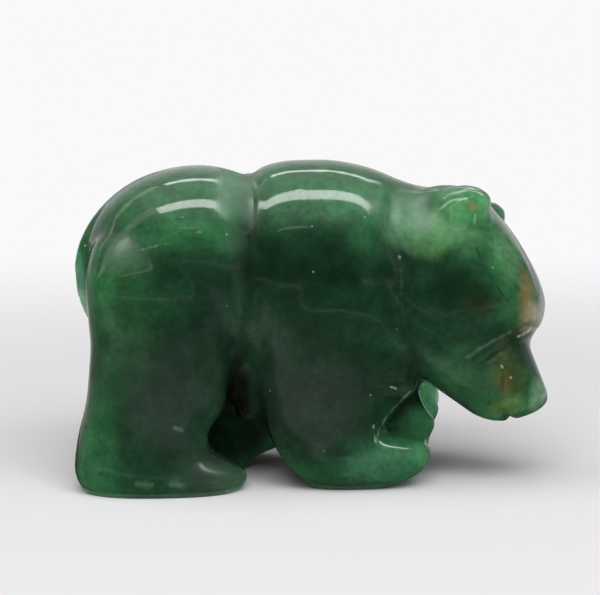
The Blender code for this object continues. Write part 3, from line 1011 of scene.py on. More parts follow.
class Skin:
    """The fused stone's surface while it is carved, in shares of the length."""

    def __init__(self, mesh: bpy.types.Mesh, unit: float) -> None:
        """Reads the points of a mesh in metres.

        Args:
            mesh: the fused stone.
            unit: metres in one share.
        """
        self.mesh = mesh
        self.unit = unit
        self.points = self.read("vertices", "co", 3) / unit
        self.normals = self.read("vertices", "normal", 3)
        self.edges = self.read("edges", "vertices", 2, np.int32)
        self.ground = np.zeros(len(self.points))
        # Light from above that reaches each point, which the material paints into the colour as painted
        # light
        self.thin = np.zeros(len(self.points))
        faces = [tuple(face.vertices) for face in mesh.polygons]
        self.tree = BVHTree.FromPolygons(self.points.tolist(), faces)

    def read(self, group: str, name: str, width: int, kind: type = np.float32) -> np.ndarray:
        """Reads one property of all points or edges.

        Args:
            group: the mesh's list of them, vertices or edges.
            name: the property.
            width: how many numbers it has for each.
            kind: what the mesh keeps it as.

        Returns:
            The numbers, a row for each.
        """
        items = getattr(self.mesh, group)
        values = np.empty(len(items) * width, kind)
        items.foreach_get(name, values)
        rows = values.reshape(-1, width)
        return rows.astype(float) if kind is np.float32 else rows

    def near(self, low: np.ndarray, high: np.ndarray) -> np.ndarray:
        """The points inside a box."""
        return np.nonzero(np.all((self.points > low) & (self.points < high), axis=1))[0]

    def press(self, stroke: Stroke, side: Side) -> None:
        """Cuts one stroke into the skin.

        Args:
            stroke: the line and its section.
            side: the side that it is on.
        """
        starts, direction = stroke.starts(side)
        found = [self.tree.ray_cast(Vector(p), Vector(direction))[:2] for p in starts]
        found = [(hit, normal) for hit, normal in found if hit is not None]
        if len(found) < 3:
            log.warning("a stroke misses the stone: %s", stroke.path[0])
            return
        places = np.array([hit[:] for hit, _ in found])
        facing = np.array([normal[:] for _, normal in found])
        onward = np.gradient(places, axis=0)
        beside = np.cross(facing, onward) * -side.value
        beside /= np.maximum(np.linalg.norm(beside, axis=1), 1e-9)[:, None]
        ends = np.arange(len(places))
        ends = np.minimum(ends, ends[::-1]) * LINE_STEP / max(stroke.run_out, 1e-6)
        taper = soft_step(0.15 + 0.85 * ends)
        rows = self.near(places.min(axis=0) - stroke.width, places.max(axis=0) + stroke.width)
        gap = self.points[rows][:, None, :] - places[None, :, :]
        distance = np.linalg.norm(gap, axis=2)
        closest = distance.argmin(axis=1)
        picked = np.arange(len(rows))
        lateral = np.einsum("ij,ij->i", gap[picked, closest], beside[closest])
        across = np.sign(lateral) * distance[picked, closest] / stroke.width
        share = stroke.section(across) * taper[closest]
        self.points[rows] -= self.normals[rows] * (stroke.depth * share)[:, None]
        worn = stroke.ground * taper[closest] * soft_step(1.6 * (1.0 - np.abs(across)))
        self.ground[rows] = np.maximum(self.ground[rows], worn)

    def flatten(self, facet: Facet, side: Side) -> None:
        """Grinds what stands proud of a facet's plane down to it.

        Args:
            facet: the facet.
            side: the side that it is on.
        """
        centre, facing = facet.plane(side)
        rows = self.near(centre - facet.reach, centre + facet.reach)
        gap = self.points[rows] - centre
        proud = np.maximum(gap @ facing, 0.0)
        share = soft_step(2.5 * (1.0 - np.linalg.norm(gap, axis=1) / facet.reach))
        share *= soft_step(4.0 * (self.normals[rows] @ facing))
        self.points[rows] -= facing[None, :] * (proud * share)[:, None]

    def dull(self, frost: Frost, side: Side) -> None:
        """Grinds a place matt without changing its shape.

        Args:
            frost: the place.
            side: the side that it is on.
        """
        centre, radii = frost.middle(side), np.array(frost.radii)
        rows = self.near(centre - radii.max(), centre + radii.max())
        gap = (self.points[rows] - centre) / radii
        share = np.maximum(1.0 - (gap ** 2).sum(axis=1), 0.0) ** 2
        self.ground[rows] = np.maximum(self.ground[rows], frost.strength * share)

    def relax(self, values: np.ndarray, passes: int, share: float = 0.5) -> np.ndarray:
        """Averages values with their neighbours' along the skin.

        Args:
            values: one row for each point.
            passes: how often.
            share: how far each pass goes towards the neighbours.

        Returns:
            The eased values.
        """
        a, b = self.edges.T
        count = np.bincount(a, minlength=len(values)) + np.bincount(b, minlength=len(values))
        result = values.astype(float)
        for _ in range(passes):
            total = np.bincount(a, result[b], len(values)) + np.bincount(b, result[a], len(values))
            result = result + share * (total / np.maximum(count, 1) - result)
        return result

    def fit(self, block: Block) -> None:
        """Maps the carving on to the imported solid's box and writes it to the mesh.

        Args:
            block: the box.
        """
        low, high = self.points.min(axis=0), self.points.max(axis=0)
        to_low, to_high = np.array(block.low), np.array(block.high)
        self.points = (self.points - low) / (high - low) * (to_high - to_low) + to_low
        self.mesh.vertices.foreach_set("co", self.points.astype(np.float32).ravel())
        # The ground finish, and the light from above that the material paints into the colour
        for name, values in (("ground_finish", self.ground), ("painted_daylight", self.thin)):
            attribute = self.mesh.attributes.new(name, "FLOAT", "POINT")
            attribute.data.foreach_set("value", values.astype(np.float32))
        self.mesh.update()


@dataclass(frozen=True)
class Daylight:
    """Even light from above that soaks into the stone and fades on its way.

    What reaches each point is painted into the stone's colour as painted light: lighter
    on tops, crests and thin parts, darker deep down on a flank. Reach is the depth at
    which it has faded to about a third. One point in every few is measured along a
    number of rays, and the others follow their neighbours. Outside is what a ray counts
    that leaves the skin outwards.
    """

    reach: float = 0.11
    longest: float = 6.0
    rays: int = 48
    stride: int = 9
    depth: float = 0.004
    outside: float = 0.35
    passes: int = 40

    def directions(self) -> list[Vector]:
        """Spreads the rays' directions evenly, in a spiral.

        Returns:
            Directions from near the zenith to just below the horizon.
        """
        turn = math.pi * (3.0 - math.sqrt(5.0))
        heights = (0.95 - 1.05 * (i + 0.5) / self.rays for i in range(self.rays))
        spiral = ((i * turn, math.sqrt(1.0 - z * z), z) for i, z in enumerate(heights))
        return [Vector((out * math.cos(angle), out * math.sin(angle), z)) for angle, out, z in spiral]

    def reaching(self, skin: Skin, point: int, sky: list[Vector]) -> float:
        """The light that reaches one point of the skin from inside the stone.

        Args:
            skin: the carved skin.
            point: the point's number.
            sky: the directions that light comes from.

        Returns:
            Near 1 on thin parts and crests, near 0 deep down on a flank.
        """
        place, inward = Vector(skin.points[point]), -Vector(skin.normals[point])
        start = place + inward * self.depth
        total = 0.0
        for direction in sky:
            if direction.dot(inward) <= 0.0:
                total += self.outside
                continue
            path = skin.tree.ray_cast(start, direction, self.longest * self.reach)[3]
            total += math.exp(-path / self.reach) if path is not None else 0.0
        return total / self.rays

    def soak(self, skin: Skin) -> None:
        """Finds how much light soaks through to each point of the skin.

        Args:
            skin: the carved skin, which keeps the result.
        """
        sky = self.directions()
        measured = np.arange(0, len(skin.points), self.stride)
        known, is_known = np.zeros(len(skin.points)), np.zeros(len(skin.points))
        known[measured] = [self.reaching(skin, point, sky) for point in measured]
        is_known[measured] = 1.0
        share = skin.relax(is_known, self.passes)
        skin.thin = skin.relax(known, self.passes) / np.maximum(share, 1e-6)
        log.info("soaked light runs from %.2f to %.2f", skin.thin.min(), skin.thin.max())


@dataclass(frozen=True)
class Carving:
    """The lines, facets and hollows that finish the stone's forms.

    All are drawn for one side, and the other side mirrors it. Frost passes are how
    often the broad matt places are eased before the lines are cut.
    """

    saddle: Line = (
        (0.345, 0.650), (0.347, 0.615), (0.345, 0.587), (0.340, 0.539), (0.336, 0.480),
        (0.334, 0.420), (0.331, 0.360), (0.333, 0.320), (0.338, 0.270))
    saddle_floor: Line = (
        (0.322, 0.650), (0.318, 0.616), (0.313, 0.561), (0.311, 0.500), (0.309, 0.420),
        (0.309, 0.340), (0.312, 0.280))
    far_saddle: int = 6
    gap: Line = ((0.313, 0.345), (0.318, 0.300), (0.323, 0.255), (0.327, 0.220))
    toes: tuple[float, ...] = (0.086, 0.132, 0.178)
    frost_passes: int = 16

    def saddle_ledge(self, side: Side) -> list[Stroke]:
        """The ledge between rump and shoulder.

        Args:
            side: the side; the far one has the ledge's upper part only.

        Returns:
            The ledge, and on the near side the groove down to the gap between the legs.
        """
        if side is Side.FAR:
            return [Stroke(self.saddle[:self.far_saddle], 0.030, 0.0075, Cut.LEDGE, run_out=0.04)]
        return [Stroke(self.saddle, 0.030, 0.0075, Cut.LEDGE, run_out=0.04),
                Stroke(self.gap, 0.034, 0.012, run_out=0.08)]

    def trunk_lines(self) -> list[Stroke]:
        """The lines of the trunk.

        Returns:
            The floor of the saddle, its ledge over the back, and the line behind the neck.
        """
        return [
            Stroke(self.saddle_floor[:3], 0.030, 0.0020, ground=0.55, run_out=0.10),
            Stroke(self.saddle_floor[2:], 0.026, 0.0015, ground=0.12, run_out=0.10),
            Stroke(((0.345, 0.006), (0.346, 0.060), (0.347, 0.105)), 0.026, 0.004, Cut.LEDGE, Approach.TOP),
            Stroke(((0.633, 0.640), (0.623, 0.605), (0.615, 0.570), (0.616, 0.538), (0.624, 0.508),
                    (0.634, 0.480), (0.640, 0.450)), 0.026, 0.0050, ground=0.45, run_out=0.05),
        ]

    def face_lines(self) -> list[Stroke]:
        """The lines of the face.

        Returns:
            The fold under the brow, the line up the cheek, and the wedge cut under the jaw.
        """
        return [
            Stroke(((0.838, 0.256), (0.863, 0.270), (0.879, 0.284), (0.895, 0.294), (0.914, 0.306),
                    (0.933, 0.317)), 0.028, 0.0110, Cut.LEDGE, on_head=True, run_out=0.03),
            Stroke(((0.887, 0.146), (0.889, 0.170), (0.890, 0.195), (0.891, 0.215), (0.892, 0.262)),
                   0.009, 0.0060, Cut.NOTCH, on_head=True, run_out=0.04),
            Stroke(((0.889, -0.010), (0.889, 0.040), (0.889, 0.095)), 0.016, 0.014, Cut.NOTCH,
                   Approach.BELOW, on_head=True, run_out=0.005),
        ]

    def ear_lines(self) -> list[Stroke]:
        """The lines of an ear.

        Returns:
            Its two rims with the valley between them, and its front edge.
        """
        return [
            Stroke(((0.785, 0.584), (0.799, 0.594), (0.812, 0.601), (0.828, 0.604), (0.843, 0.603)),
                   0.009, 0.0042, Cut.RIDGE, on_head=True),
            Stroke(((0.781, 0.560), (0.792, 0.570), (0.806, 0.581), (0.822, 0.588), (0.842, 0.591)),
                   0.008, 0.0042, Cut.RIDGE, on_head=True),
            Stroke(((0.781, 0.573), (0.795, 0.583), (0.810, 0.591), (0.826, 0.596), (0.842, 0.597)),
                   0.008, 0.0030, on_head=True),
            Stroke(((0.868, 0.580), (0.866, 0.560), (0.862, 0.544), (0.857, 0.526)), 0.010, 0.0040,
                   Cut.RIDGE, on_head=True),
        ]

    def scoop_lines(self) -> list[Stroke]:
        """The lines of the scoop above a forepaw.

        Returns:
            The two cuts at its top.
        """
        return [
            Stroke(((0.553, 0.252), (0.585, 0.246), (0.620, 0.240), (0.655, 0.236)), 0.011, 0.0050,
                   Cut.NOTCH, ground=0.2),
            Stroke(((0.600, 0.229), (0.630, 0.226), (0.658, 0.222)), 0.008, 0.0030, Cut.NOTCH, ground=0.2),
        ]

    def strip_edges(self) -> list[Stroke]:
        """The line beside the tail strip, seen from behind."""
        return [Stroke(((0.024, 0.600), (0.027, 0.550), (0.029, 0.500), (0.027, 0.440), (0.022, 0.380)),
                       0.009, 0.0035, Cut.NOTCH, Approach.BACK, run_out=0.03)]

    def toe_lines(self) -> list[Stroke]:
        """The lines that part the toes of a forepaw, down its front."""
        return [Stroke(((y, 0.112), (y, 0.085), (y, 0.045)), 0.012, 0.0080, Cut.NOTCH, Approach.FRONT)
                for y in self.toes]

    def frosted_band(self) -> list[Stroke]:
        """The broad matt band down the saddle, whose edges are soft.

        Returns:
            One stroke over the back and three down the side.
        """
        return [
            Stroke(((0.312, 0.000), (0.312, 0.060), (0.310, 0.130)), 0.052, 0.0020,
                   approach=Approach.TOP, ground=0.85),
            Stroke(((0.306, 0.655), (0.304, 0.600), (0.304, 0.570)), 0.052, 0.0010,
                   ground=1.0, run_out=0.03),
            Stroke(((0.305, 0.590), (0.306, 0.550), (0.310, 0.500)), 0.046, 0.0005,
                   ground=0.65, run_out=0.04),
            Stroke(((0.332, 0.625), (0.332, 0.580), (0.332, 0.550)), 0.026, 0.0005,
                   ground=0.80, run_out=0.03),
        ]

    def facets(self) -> list[Facet]:
        """The flats of the head.

        Returns:
            Those on the forehead and under the jaw.
        """
        return [
            Facet((0.908, 0.095, 0.470), (0.84, 0.42, 0.40), 0.140, True),
            Facet((0.800, 0.118, 0.195), (-0.10, 0.72, -0.68), 0.070, True),
        ]

    def frosts(self) -> list[Frost]:
        """The matt places beside the lines.

        Returns:
            Those on the neck, the rump, the hind toe and the forepaw.
        """
        return [
            Frost((0.670, 0.136, 0.590), (0.150, 0.170, 0.125), 0.75),
            Frost((0.085, 0.190, 0.530), (0.090, 0.100, 0.070), 0.50),
            Frost((0.285, 0.200, 0.085), (0.120, 0.150, 0.090), 0.55),
            Frost((0.640, 0.190, 0.104), (0.080, 0.040, 0.026), 0.50),
        ]

    def carve(self, skin: Skin) -> None:
        """Carves both sides of the stone.

        Args:
            skin: the fused stone's surface.
        """
        for side in Side:
            for facet in self.facets():
                skin.flatten(facet, side)
            for frost in self.frosts():
                skin.dull(frost, side)
            for stroke in self.frosted_band():
                skin.press(stroke, side)
        skin.ground = skin.relax(skin.ground, self.frost_passes)
        both = (self.trunk_lines() + self.face_lines() + self.ear_lines() + self.scoop_lines()
                + self.strip_edges() + self.toe_lines())
        for side in Side:
            for stroke in self.saddle_ledge(side) + both:
                skin.press(stroke, side)


@dataclass(frozen=True)
class WorkMarks:
    """Fine marks on the skin: grinding grain where it was left matt, and small pits.

    Sizes are in metres. The grain is laid by a noise that the ground finish scales,
    and the pits are pressed in around points strewn over the skin.
    """

    grain_depth: float = 0.00005
    grain_size: float = 0.00045
    pits: float = 60000.0
    pit_radius: float = 0.00022
    pit_depth: float = 0.00003
    seed: int = 7

    def recipe(self) -> Recipe:
        """Makes the node tree that moves the skin's points.

        Returns:
            The recipe, with every size and the seed as inputs.
        """
        recipe = Recipe("work_marks", {"Grain Depth": "Float", "Grain Size": "Float", "Pits": "Float",
                                       "Pit Radius": "Float", "Pit Depth": "Float", "Seed": "Int"})
        bench, given = recipe.bench, recipe.given
        normal = bench.add("GeometryNodeInputNormal").outputs[0]
        place = bench.add("GeometryNodeInputPosition").outputs[0]
        ground = bench.add("GeometryNodeInputNamedAttribute", "ground_finish", data_type="FLOAT").outputs[0]
        grain = bench.noise(place, bench.math("DIVIDE", 1.0, given["Grain Size"]), 3.0)
        grain = bench.math("MULTIPLY", bench.math("SUBTRACT", grain, 0.5), ground)
        grain = bench.math("MULTIPLY", grain, given["Grain Depth"])
        points = bench.add("GeometryNodeDistributePointsOnFaces",
                           given[0], None, given["Pits"], given["Seed"])
        nearest = bench.add("GeometryNodeProximity", points.outputs[0], target_element="POINTS")
        pit = bench.ramp(nearest.outputs["Distance"], 0.0, given["Pit Radius"], given["Pit Depth"], 0.0)
        offset = bench.scaled(normal, bench.math("SUBTRACT", grain, pit))
        recipe.end(bench.add("GeometryNodeSetPosition", given[0], None, None, offset).outputs[0])
        return recipe

    def apply(self, obj: bpy.types.Object, material: bpy.types.Material) -> None:
        """Marks the stone and gives it its finish.

        Args:
            obj: the carved stone.
            material: its finish.
        """
        self.recipe().put_on(obj, {
            "Grain Depth": self.grain_depth, "Grain Size": self.grain_size, "Pits": self.pits,
            "Pit Radius": self.pit_radius, "Pit Depth": self.pit_depth, "Seed": self.seed,
            "Material": material})
        settle(obj)


@dataclass(frozen=True)
class Cloud:
    """A patch of another colour laid into the stone's colour, with an edge more or less ragged."""

    centre: Place
    radii: Place
    colour: Shade
    strength: float
    ragged: float = 0.45


@dataclass(frozen=True)
class Vein:
    """A thin streak of another colour, by its points (x, z) from the side.

    One point alone is a speck.
    """

    path: Line
    width: float
    colour: Shade
    strength: float
    on_head: bool = False

    def pieces(self) -> Iterator[tuple[Place, Place]]:
        """The start of each straight piece and the way from there to its end."""
        for a, b in zip(self.path, self.path[1:] or self.path):
            yield (a[0], 0.0, a[1]), (b[0] - a[0], 0.0, b[1] - a[1])


@dataclass(frozen=True)
class Specks:
    """Small inclusions strewn through the stone: how fine, how rare, how big, what colour."""

    scale: float
    rare: float
    size: float
    colour: Colour
    strength: float = 0.75


@dataclass(frozen=True)
class Aventurine:
    """Polished green aventurine: cloudy, a little translucent, matt where ground.

    Colours are screen values. The colour turns from deep and mid to lit and then pale
    as more of the measured light from above reaches a point, which is painted light on
    tops, crests and thin parts; each of those two changes is a range of the soaked light.
    Glow is how far light scatters inside, in metres.
    """

    deep: Colour = (20, 46, 29)
    mid: Colour = (29, 68, 41)
    # lit and pale are painted light, laid where more light from above reaches
    lit: Colour = (50, 106, 66)
    pale: Colour = (106, 158, 116)
    frosted: Colour = (112, 150, 122)
    painted_lit_range: tuple[float, float] = (0.255, 0.345)
    painted_glow_range: tuple[float, float] = (0.36, 0.55)
    painted_glow_share: float = 0.8
    frosted_share: float = 0.22
    polished: float = 0.085
    matt: float = 0.46
    scratch_strength: float = 0.35
    scratch_depth: float = 0.00006
    index: float = 1.54
    glow: float = 0.0120
    glow_radius: Place = (0.75, 1.0, 0.85)
    specks: tuple[Specks, ...] = (
        Specks(46.0, 0.93, 0.16, (150, 186, 150)),
        Specks(70.0, 0.90, 0.14, (18, 40, 26)))

    def clouds(self) -> tuple[Cloud, ...]:
        """Patches laid into the colour: the brown ones are stains, the marked ones painted shade, painted
        light and painted reflections.

        Returns:
            The clouds, about in order from tail to nose.
        """
        return (
            # Lighter towards the rump's rear edge: painted light
            Cloud((0.09, -0.14, 0.40), (0.12, 0.20, 0.26), linear(44, 92, 50), 0.60),
            Cloud((0.02, -0.18, 0.13), (0.08, 0.14, 0.14), linear(52, 106, 66), 0.65),
            # A lighter band on the upper rump: painted reflection of the pale room
            Cloud((0.16, -0.22, 0.56), (0.12, 0.10, 0.05), linear(60, 118, 76), 0.40, 0.20),
            # Greyer on the lower flank and foreleg: the stone's grey-green with a painted reflection in it
            Cloud((0.45, -0.16, 0.22), (0.20, 0.18, 0.22), linear(37, 52, 41), 0.75),
            # Greyer low on the hind leg: the stone's grey-green with a painted reflection in it
            Cloud((0.20, -0.20, 0.19), (0.15, 0.18, 0.17), linear(33, 52, 40), 0.75),
            Cloud((0.27, -0.22, 0.42), (0.09, 0.12, 0.14), linear(20, 50, 32), 0.55),
            # Near black between the legs: painted shade
            Cloud((0.320, -0.10, 0.21), (0.052, 0.16, 0.21), linear(15, 22, 14), 1.60, 0.10),
            # Dark on the far legs under the belly: painted shade
            Cloud((0.350, 0.14, 0.10), (0.14, 0.13, 0.14), linear(20, 28, 19), 1.50, 0.10),
            # A lit patch on the far leg under the belly: painted light
            Cloud((0.340, 0.10, 0.180), (0.030, 0.12, 0.020), linear(46, 96, 56), 1.2, 0.10),
            # Darker, greyer hind toe: painted shade
            Cloud((0.265, -0.20, 0.060), (0.13, 0.16, 0.075), linear(42, 60, 48), 0.95, 0.15),
            Cloud((0.000, -0.20, 0.04), (0.06, 0.10, 0.050), linear(68, 110, 76), 0.60),
            # Lighter on the shoulder's top: painted light
            Cloud((0.520, -0.12, 0.61), (0.18, 0.12, 0.060), linear(80, 134, 96), 0.45),
            Cloud((0.820, -0.14, 0.155), (0.08, 0.10, 0.040), linear(66, 118, 78), 0.60),
            # Lighter forepaw: painted glow of light through the thin paw
            Cloud((0.61, -0.20, 0.08), (0.12, 0.10, 0.07), linear(66, 116, 86), 0.80),
            # Lighter paw top in the scoop: painted glow
            Cloud((0.70, -0.08, 0.13), (0.06, 0.07, 0.05), linear(50, 104, 66), 0.70),
            # The bright wedge under the jaw: painted glow of light through the far wrist
            Cloud((0.735, 0.08, 0.17), (0.06, 0.11, 0.07), linear(112, 196, 140), 1.5, 0.10),
            # Lighter on the neck's top: painted light
            Cloud((0.66, -0.15, 0.57), (0.07, 0.10, 0.06), linear(92, 146, 104), 0.70),
            # Lighter round the near ear: painted glow of light through the thin ear
            Cloud((0.75, -0.16, 0.57), (0.11, 0.12, 0.08), linear(92, 150, 98), 0.80),
            Cloud((0.73, -0.18, 0.53), (0.06, 0.07, 0.05), linear(88, 136, 76), 0.30, 0.90),
            Cloud((0.88, -0.14, 0.50), (0.05, 0.12, 0.10), linear(84, 134, 90), 0.75),
            Cloud((0.77, -0.21, 0.44), (0.09, 0.10, 0.06), linear(20, 44, 26), 0.70),
            Cloud((0.82, -0.21, 0.41), (0.06, 0.08, 0.04), linear(38, 48, 26), 0.60, 0.90),
            Cloud((0.920, -0.16, 0.42), (0.032, 0.09, 0.070), linear(126, 106, 66), 0.80, 0.80),
            Cloud((0.932, -0.15, 0.37), (0.034, 0.10, 0.055), linear(140, 134, 108), 0.90, 0.40),
            Cloud((0.80, -0.20, 0.24), (0.16, 0.12, 0.12), linear(50, 94, 60), 0.75),
            Cloud((0.878, -0.19, 0.27), (0.055, 0.08, 0.075), linear(66, 78, 42), 0.60, 1.00),
            Cloud((0.872, -0.20, 0.235), (0.040, 0.05, 0.050), linear(94, 80, 38), 0.50, 1.20),
            Cloud((0.880, -0.19, 0.195), (0.055, 0.08, 0.035), linear(92, 116, 62), 0.60, 0.70),
            Cloud((0.950, -0.17, 0.20), (0.032, 0.08, 0.055), linear(112, 144, 114), 0.75),
            Cloud((0.811, -0.16, 0.604), (0.016, 0.03, 0.014), linear(130, 112, 52), 0.80, 0.10),
        )

    def veins(self) -> tuple[Vein, ...]:
        """Thin marks: the stone's streaks, scratches and single specks, and painted highlights and shade.

        Returns:
            The veins, about in order from tail to nose.
        """
        # The first colour is painted shade, for creases, notches and the dark edges of reflections; frost
        # and white are scratches and specks of the stone and also painted highlights where marked; brown is
        # stains, and dark is scars and specks and also painted shade where marked
        shade, frost, white = linear(24, 56, 33), linear(126, 156, 130), linear(222, 226, 214)
        brown, dark = linear(84, 54, 30), linear(14, 30, 18)
        return (
            # Dark curve on the haunch: the painted edge of a reflection
            Vein(((0.204, 0.589), (0.121, 0.568), (0.058, 0.522), (0.041, 0.474)), 0.006, shade, 0.55),
            # Dark line along the tail strip's edge: painted shade
            Vein(((-0.020, 0.578), (-0.018, 0.474), (0.016, 0.425)), 0.005, shade, 0.5),
            # Dark arc over the rump: the painted edge of a reflection
            Vein(((0.045, 0.453), (0.050, 0.505), (0.084, 0.557), (0.110, 0.578), (0.194, 0.587),
                  (0.246, 0.589)), 0.005, shade, 0.6),
            Vein(((0.126, 0.525), (0.189, 0.542)), 0.0045, frost, 0.55),
            Vein(((0.227, 0.563), (0.253, 0.563)), 0.0045, frost, 0.55),
            Vein(((0.340, 0.556), (0.353, 0.559)), 0.0045, frost, 0.45),
            Vein(((0.314, 0.670), (0.311, 0.615)), 0.056, linear(92, 134, 104), 0.45),
            # Dark dot in the heel's pit: painted shade
            Vein(((0.017, 0.161),), 0.012, dark, 0.8),
            Vein(((0.018, 0.232), (0.024, 0.218)), 0.006, dark, 0.6),
            Vein(((0.044, 0.075),), 0.009, dark, 0.7),
            Vein(((0.047, 0.150),), 0.005, white, 0.9),
            Vein(((0.196, 0.166), (0.212, 0.161)), 0.010, frost, 0.45),
            Vein(((0.120, 0.056), (0.146, 0.054)), 0.016, frost, 0.40),
            Vein(((0.190, 0.053), (0.208, 0.050)), 0.014, frost, 0.40),
            Vein(((0.438, 0.040), (0.456, 0.034)), 0.009, frost, 0.60),
            # Dark lines in the chest's grooves: painted shade
            Vein(((0.553, 0.252), (0.609, 0.241), (0.661, 0.230)), 0.005, dark, 0.80),
            Vein(((0.600, 0.224), (0.655, 0.217)), 0.004, dark, 0.60),
            Vein(((0.594, 0.228),), 0.005, white, 0.9),
            Vein(((0.637, 0.272),), 0.005, white, 0.8),
            Vein(((0.637, 0.241), (0.648, 0.238)), 0.004, white, 0.8),
            # Pale line down the shin's edge: painted highlight
            Vein(((0.679, 0.227), (0.639, 0.188), (0.614, 0.150), (0.607, 0.126)), 0.006, frost, 0.65),
            # White line on the paw's rim: painted highlight
            Vein(((0.602, 0.160), (0.606, 0.128)), 0.004, white, 0.5),
            # Dark band under the jaw: painted shade
            Vein(((0.624, 0.308), (0.641, 0.291), (0.665, 0.267), (0.695, 0.238)), 0.020, dark, 0.55),
            Vein(((0.658, 0.502),), 0.007, linear(176, 216, 186), 0.9),
            Vein(((0.660, 0.478), (0.662, 0.425)), 0.007, linear(62, 104, 72), 0.5),
            # Dark line along the forehead's edge: painted shade
            Vein(((0.866, 0.490), (0.878, 0.462), (0.905, 0.417), (0.932, 0.376)), 0.0042, dark, 0.75, True),
            Vein(((0.932, 0.376),), 0.009, brown, 0.9, True),
            Vein(((0.961, 0.339), (0.936, 0.319)), 0.0075, brown, 0.85, True),
            # White line on the brow slot's rim: painted highlight
            Vein(((0.968, 0.331), (0.944, 0.311)), 0.0050, white, 0.85, True),
            # Pale line over the fold under the brow: painted highlight
            Vein(((0.930, 0.319), (0.900, 0.301), (0.879, 0.288), (0.850, 0.266)), 0.007,
                 linear(112, 138, 108), 0.55, True),
            # Dark line under the fold: painted shade
            Vein(((0.928, 0.308), (0.900, 0.290), (0.879, 0.277), (0.858, 0.260)), 0.009, shade, 0.6, True),
            # Dark line in the mouth's notch: painted shade
            Vein(((0.889, 0.145), (0.891, 0.195), (0.893, 0.262)), 0.004, shade, 0.6, True),
            Vein(((0.893, 0.262), (0.892, 0.238)), 0.008, brown, 0.6, True),
            Vein(((0.922, 0.272), (0.918, 0.264)), 0.008, linear(112, 84, 44), 0.5, True),
            # Pale lines on the ear's two rims: painted highlights
            Vein(((0.797, 0.592), (0.812, 0.601), (0.842, 0.606)), 0.006, linear(196, 222, 196), 0.55, True),
            Vein(((0.785, 0.566), (0.800, 0.577), (0.817, 0.588), (0.846, 0.590)), 0.006,
                 linear(206, 228, 200), 0.65, True),
            # Dark line between the ear's rims: painted shade
            Vein(((0.792, 0.580), (0.812, 0.590), (0.842, 0.597)), 0.006, shade, 0.45, True),
            # Pale line on the ear's front edge: painted highlight
            Vein(((0.862, 0.556), (0.859, 0.534)), 0.006, linear(170, 206, 176), 0.5, True),
            Vein(((0.914, 0.250),), 0.005, white, 0.9, True),
            Vein(((0.932, 0.225),), 0.004, white, 0.7, True),
        )

    def material(self, block: Block) -> bpy.types.Material:
        """The finish as a material.

        Args:
            block: the stone's box, which centres the clouds.

        Returns:
            The new material.
        """
        material = bpy.data.materials.new("polished_aventurine")
        material.use_nodes = True
        bench = NodeBench(material.node_tree)
        place = bench.add("ShaderNodeTexCoord").outputs["Object"]
        from_rump = bench.vector("SUBTRACT", place, block.place((0.0, 0.0, 0.0))[:])
        shares = bench.vector("DIVIDE", from_rump, (block.unit,) * 3)
        ground = bench.add("ShaderNodeAttribute", attribute_name="ground_finish").outputs["Fac"]
        colour = self.colour(bench, shares, ground)
        roughness = bench.ramp(ground, 0.0, 0.8, self.polished, self.matt)
        scratches = bench.noise(shares, 420.0, 2.0)
        scratches = bench.math("MULTIPLY", scratches, bench.math("ADD", 0.03, ground))
        bump = bench.set(bench.add("ShaderNodeBump"), Strength=self.scratch_strength,
                         Distance=self.scratch_depth, Height=scratches)
        shader = bench.set(bench.add("ShaderNodeBsdfPrincipled"), Base_Color=colour, Roughness=roughness,
                           Normal=bump.outputs[0], IOR=self.index, Subsurface_Weight=1.0,
                           Subsurface_Radius=self.glow_radius, Subsurface_Scale=self.glow)
        bench.add("ShaderNodeOutputMaterial", shader.outputs[0])
        return material

    def colour(self, bench: NodeBench, shares: Socket, ground: Socket) -> Socket:
        """Lays the stone's colour, from its body and its painted light to its specks and its frost.

        Args:
            bench: the tree's bench.
            shares: the place in shares of the length.
            ground: how matt the place was left.

        Returns:
            The colour.
        """
        # How much light from above reaches each point, painted in below as lighter colour
        soaked = bench.add("ShaderNodeAttribute", attribute_name="painted_daylight").outputs["Fac"]
        body = bench.ramp(bench.noise(shares, 5.0, 4.0), 0.35, 0.68)
        colour = bench.blend(body, linear(*self.deep), linear(*self.mid))
        wobble = bench.math("SUBTRACT", bench.noise(shares, 15.0, 8.0), 0.5)
        reached = bench.math("ADD", soaked, bench.math("MULTIPLY", wobble, 0.03))
        # Painted light: lighter where more light from above reaches
        colour = bench.blend(bench.ramp(reached, *self.painted_lit_range), colour, linear(*self.lit))
        for cloud in self.clouds():
            colour = self.laid(bench, colour, cloud, shares, wobble)
        # Painted glow: paler still where the most light from above reaches, on edges, crests and thin parts
        edges = bench.ramp(soaked, *self.painted_glow_range, 0.0, self.painted_glow_share)
        colour = bench.blend(edges, colour, linear(*self.pale))
        turned_back = bench.add("ShaderNodeVectorRotate", shares, tuple(HEAD_PIVOT), HEAD_AXIS, HEAD_TURN)
        rough = bench.math("SUBTRACT", bench.noise(shares, 75.0, 3.0), 0.42)
        rough = bench.math("MULTIPLY", rough, 0.013)
        for vein in self.veins():
            drawn_on = turned_back.outputs[0] if vein.on_head else shares
            colour = self.streaked(bench, colour, vein, drawn_on, rough)
        mottle = bench.ramp(bench.noise(shares, 26.0, 5.0), 0.32, 0.68, 0.80, 1.16)
        grain = bench.ramp(bench.noise(shares, 90.0, 3.0), 0.25, 0.75, 0.84, 1.16)
        colour = bench.tinted(bench.tinted(colour, mottle), grain)
        for specks in self.specks:
            colour = self.strewn(bench, colour, specks, shares)
        return bench.blend(bench.math("MULTIPLY", ground, self.frosted_share), colour, linear(*self.frosted))

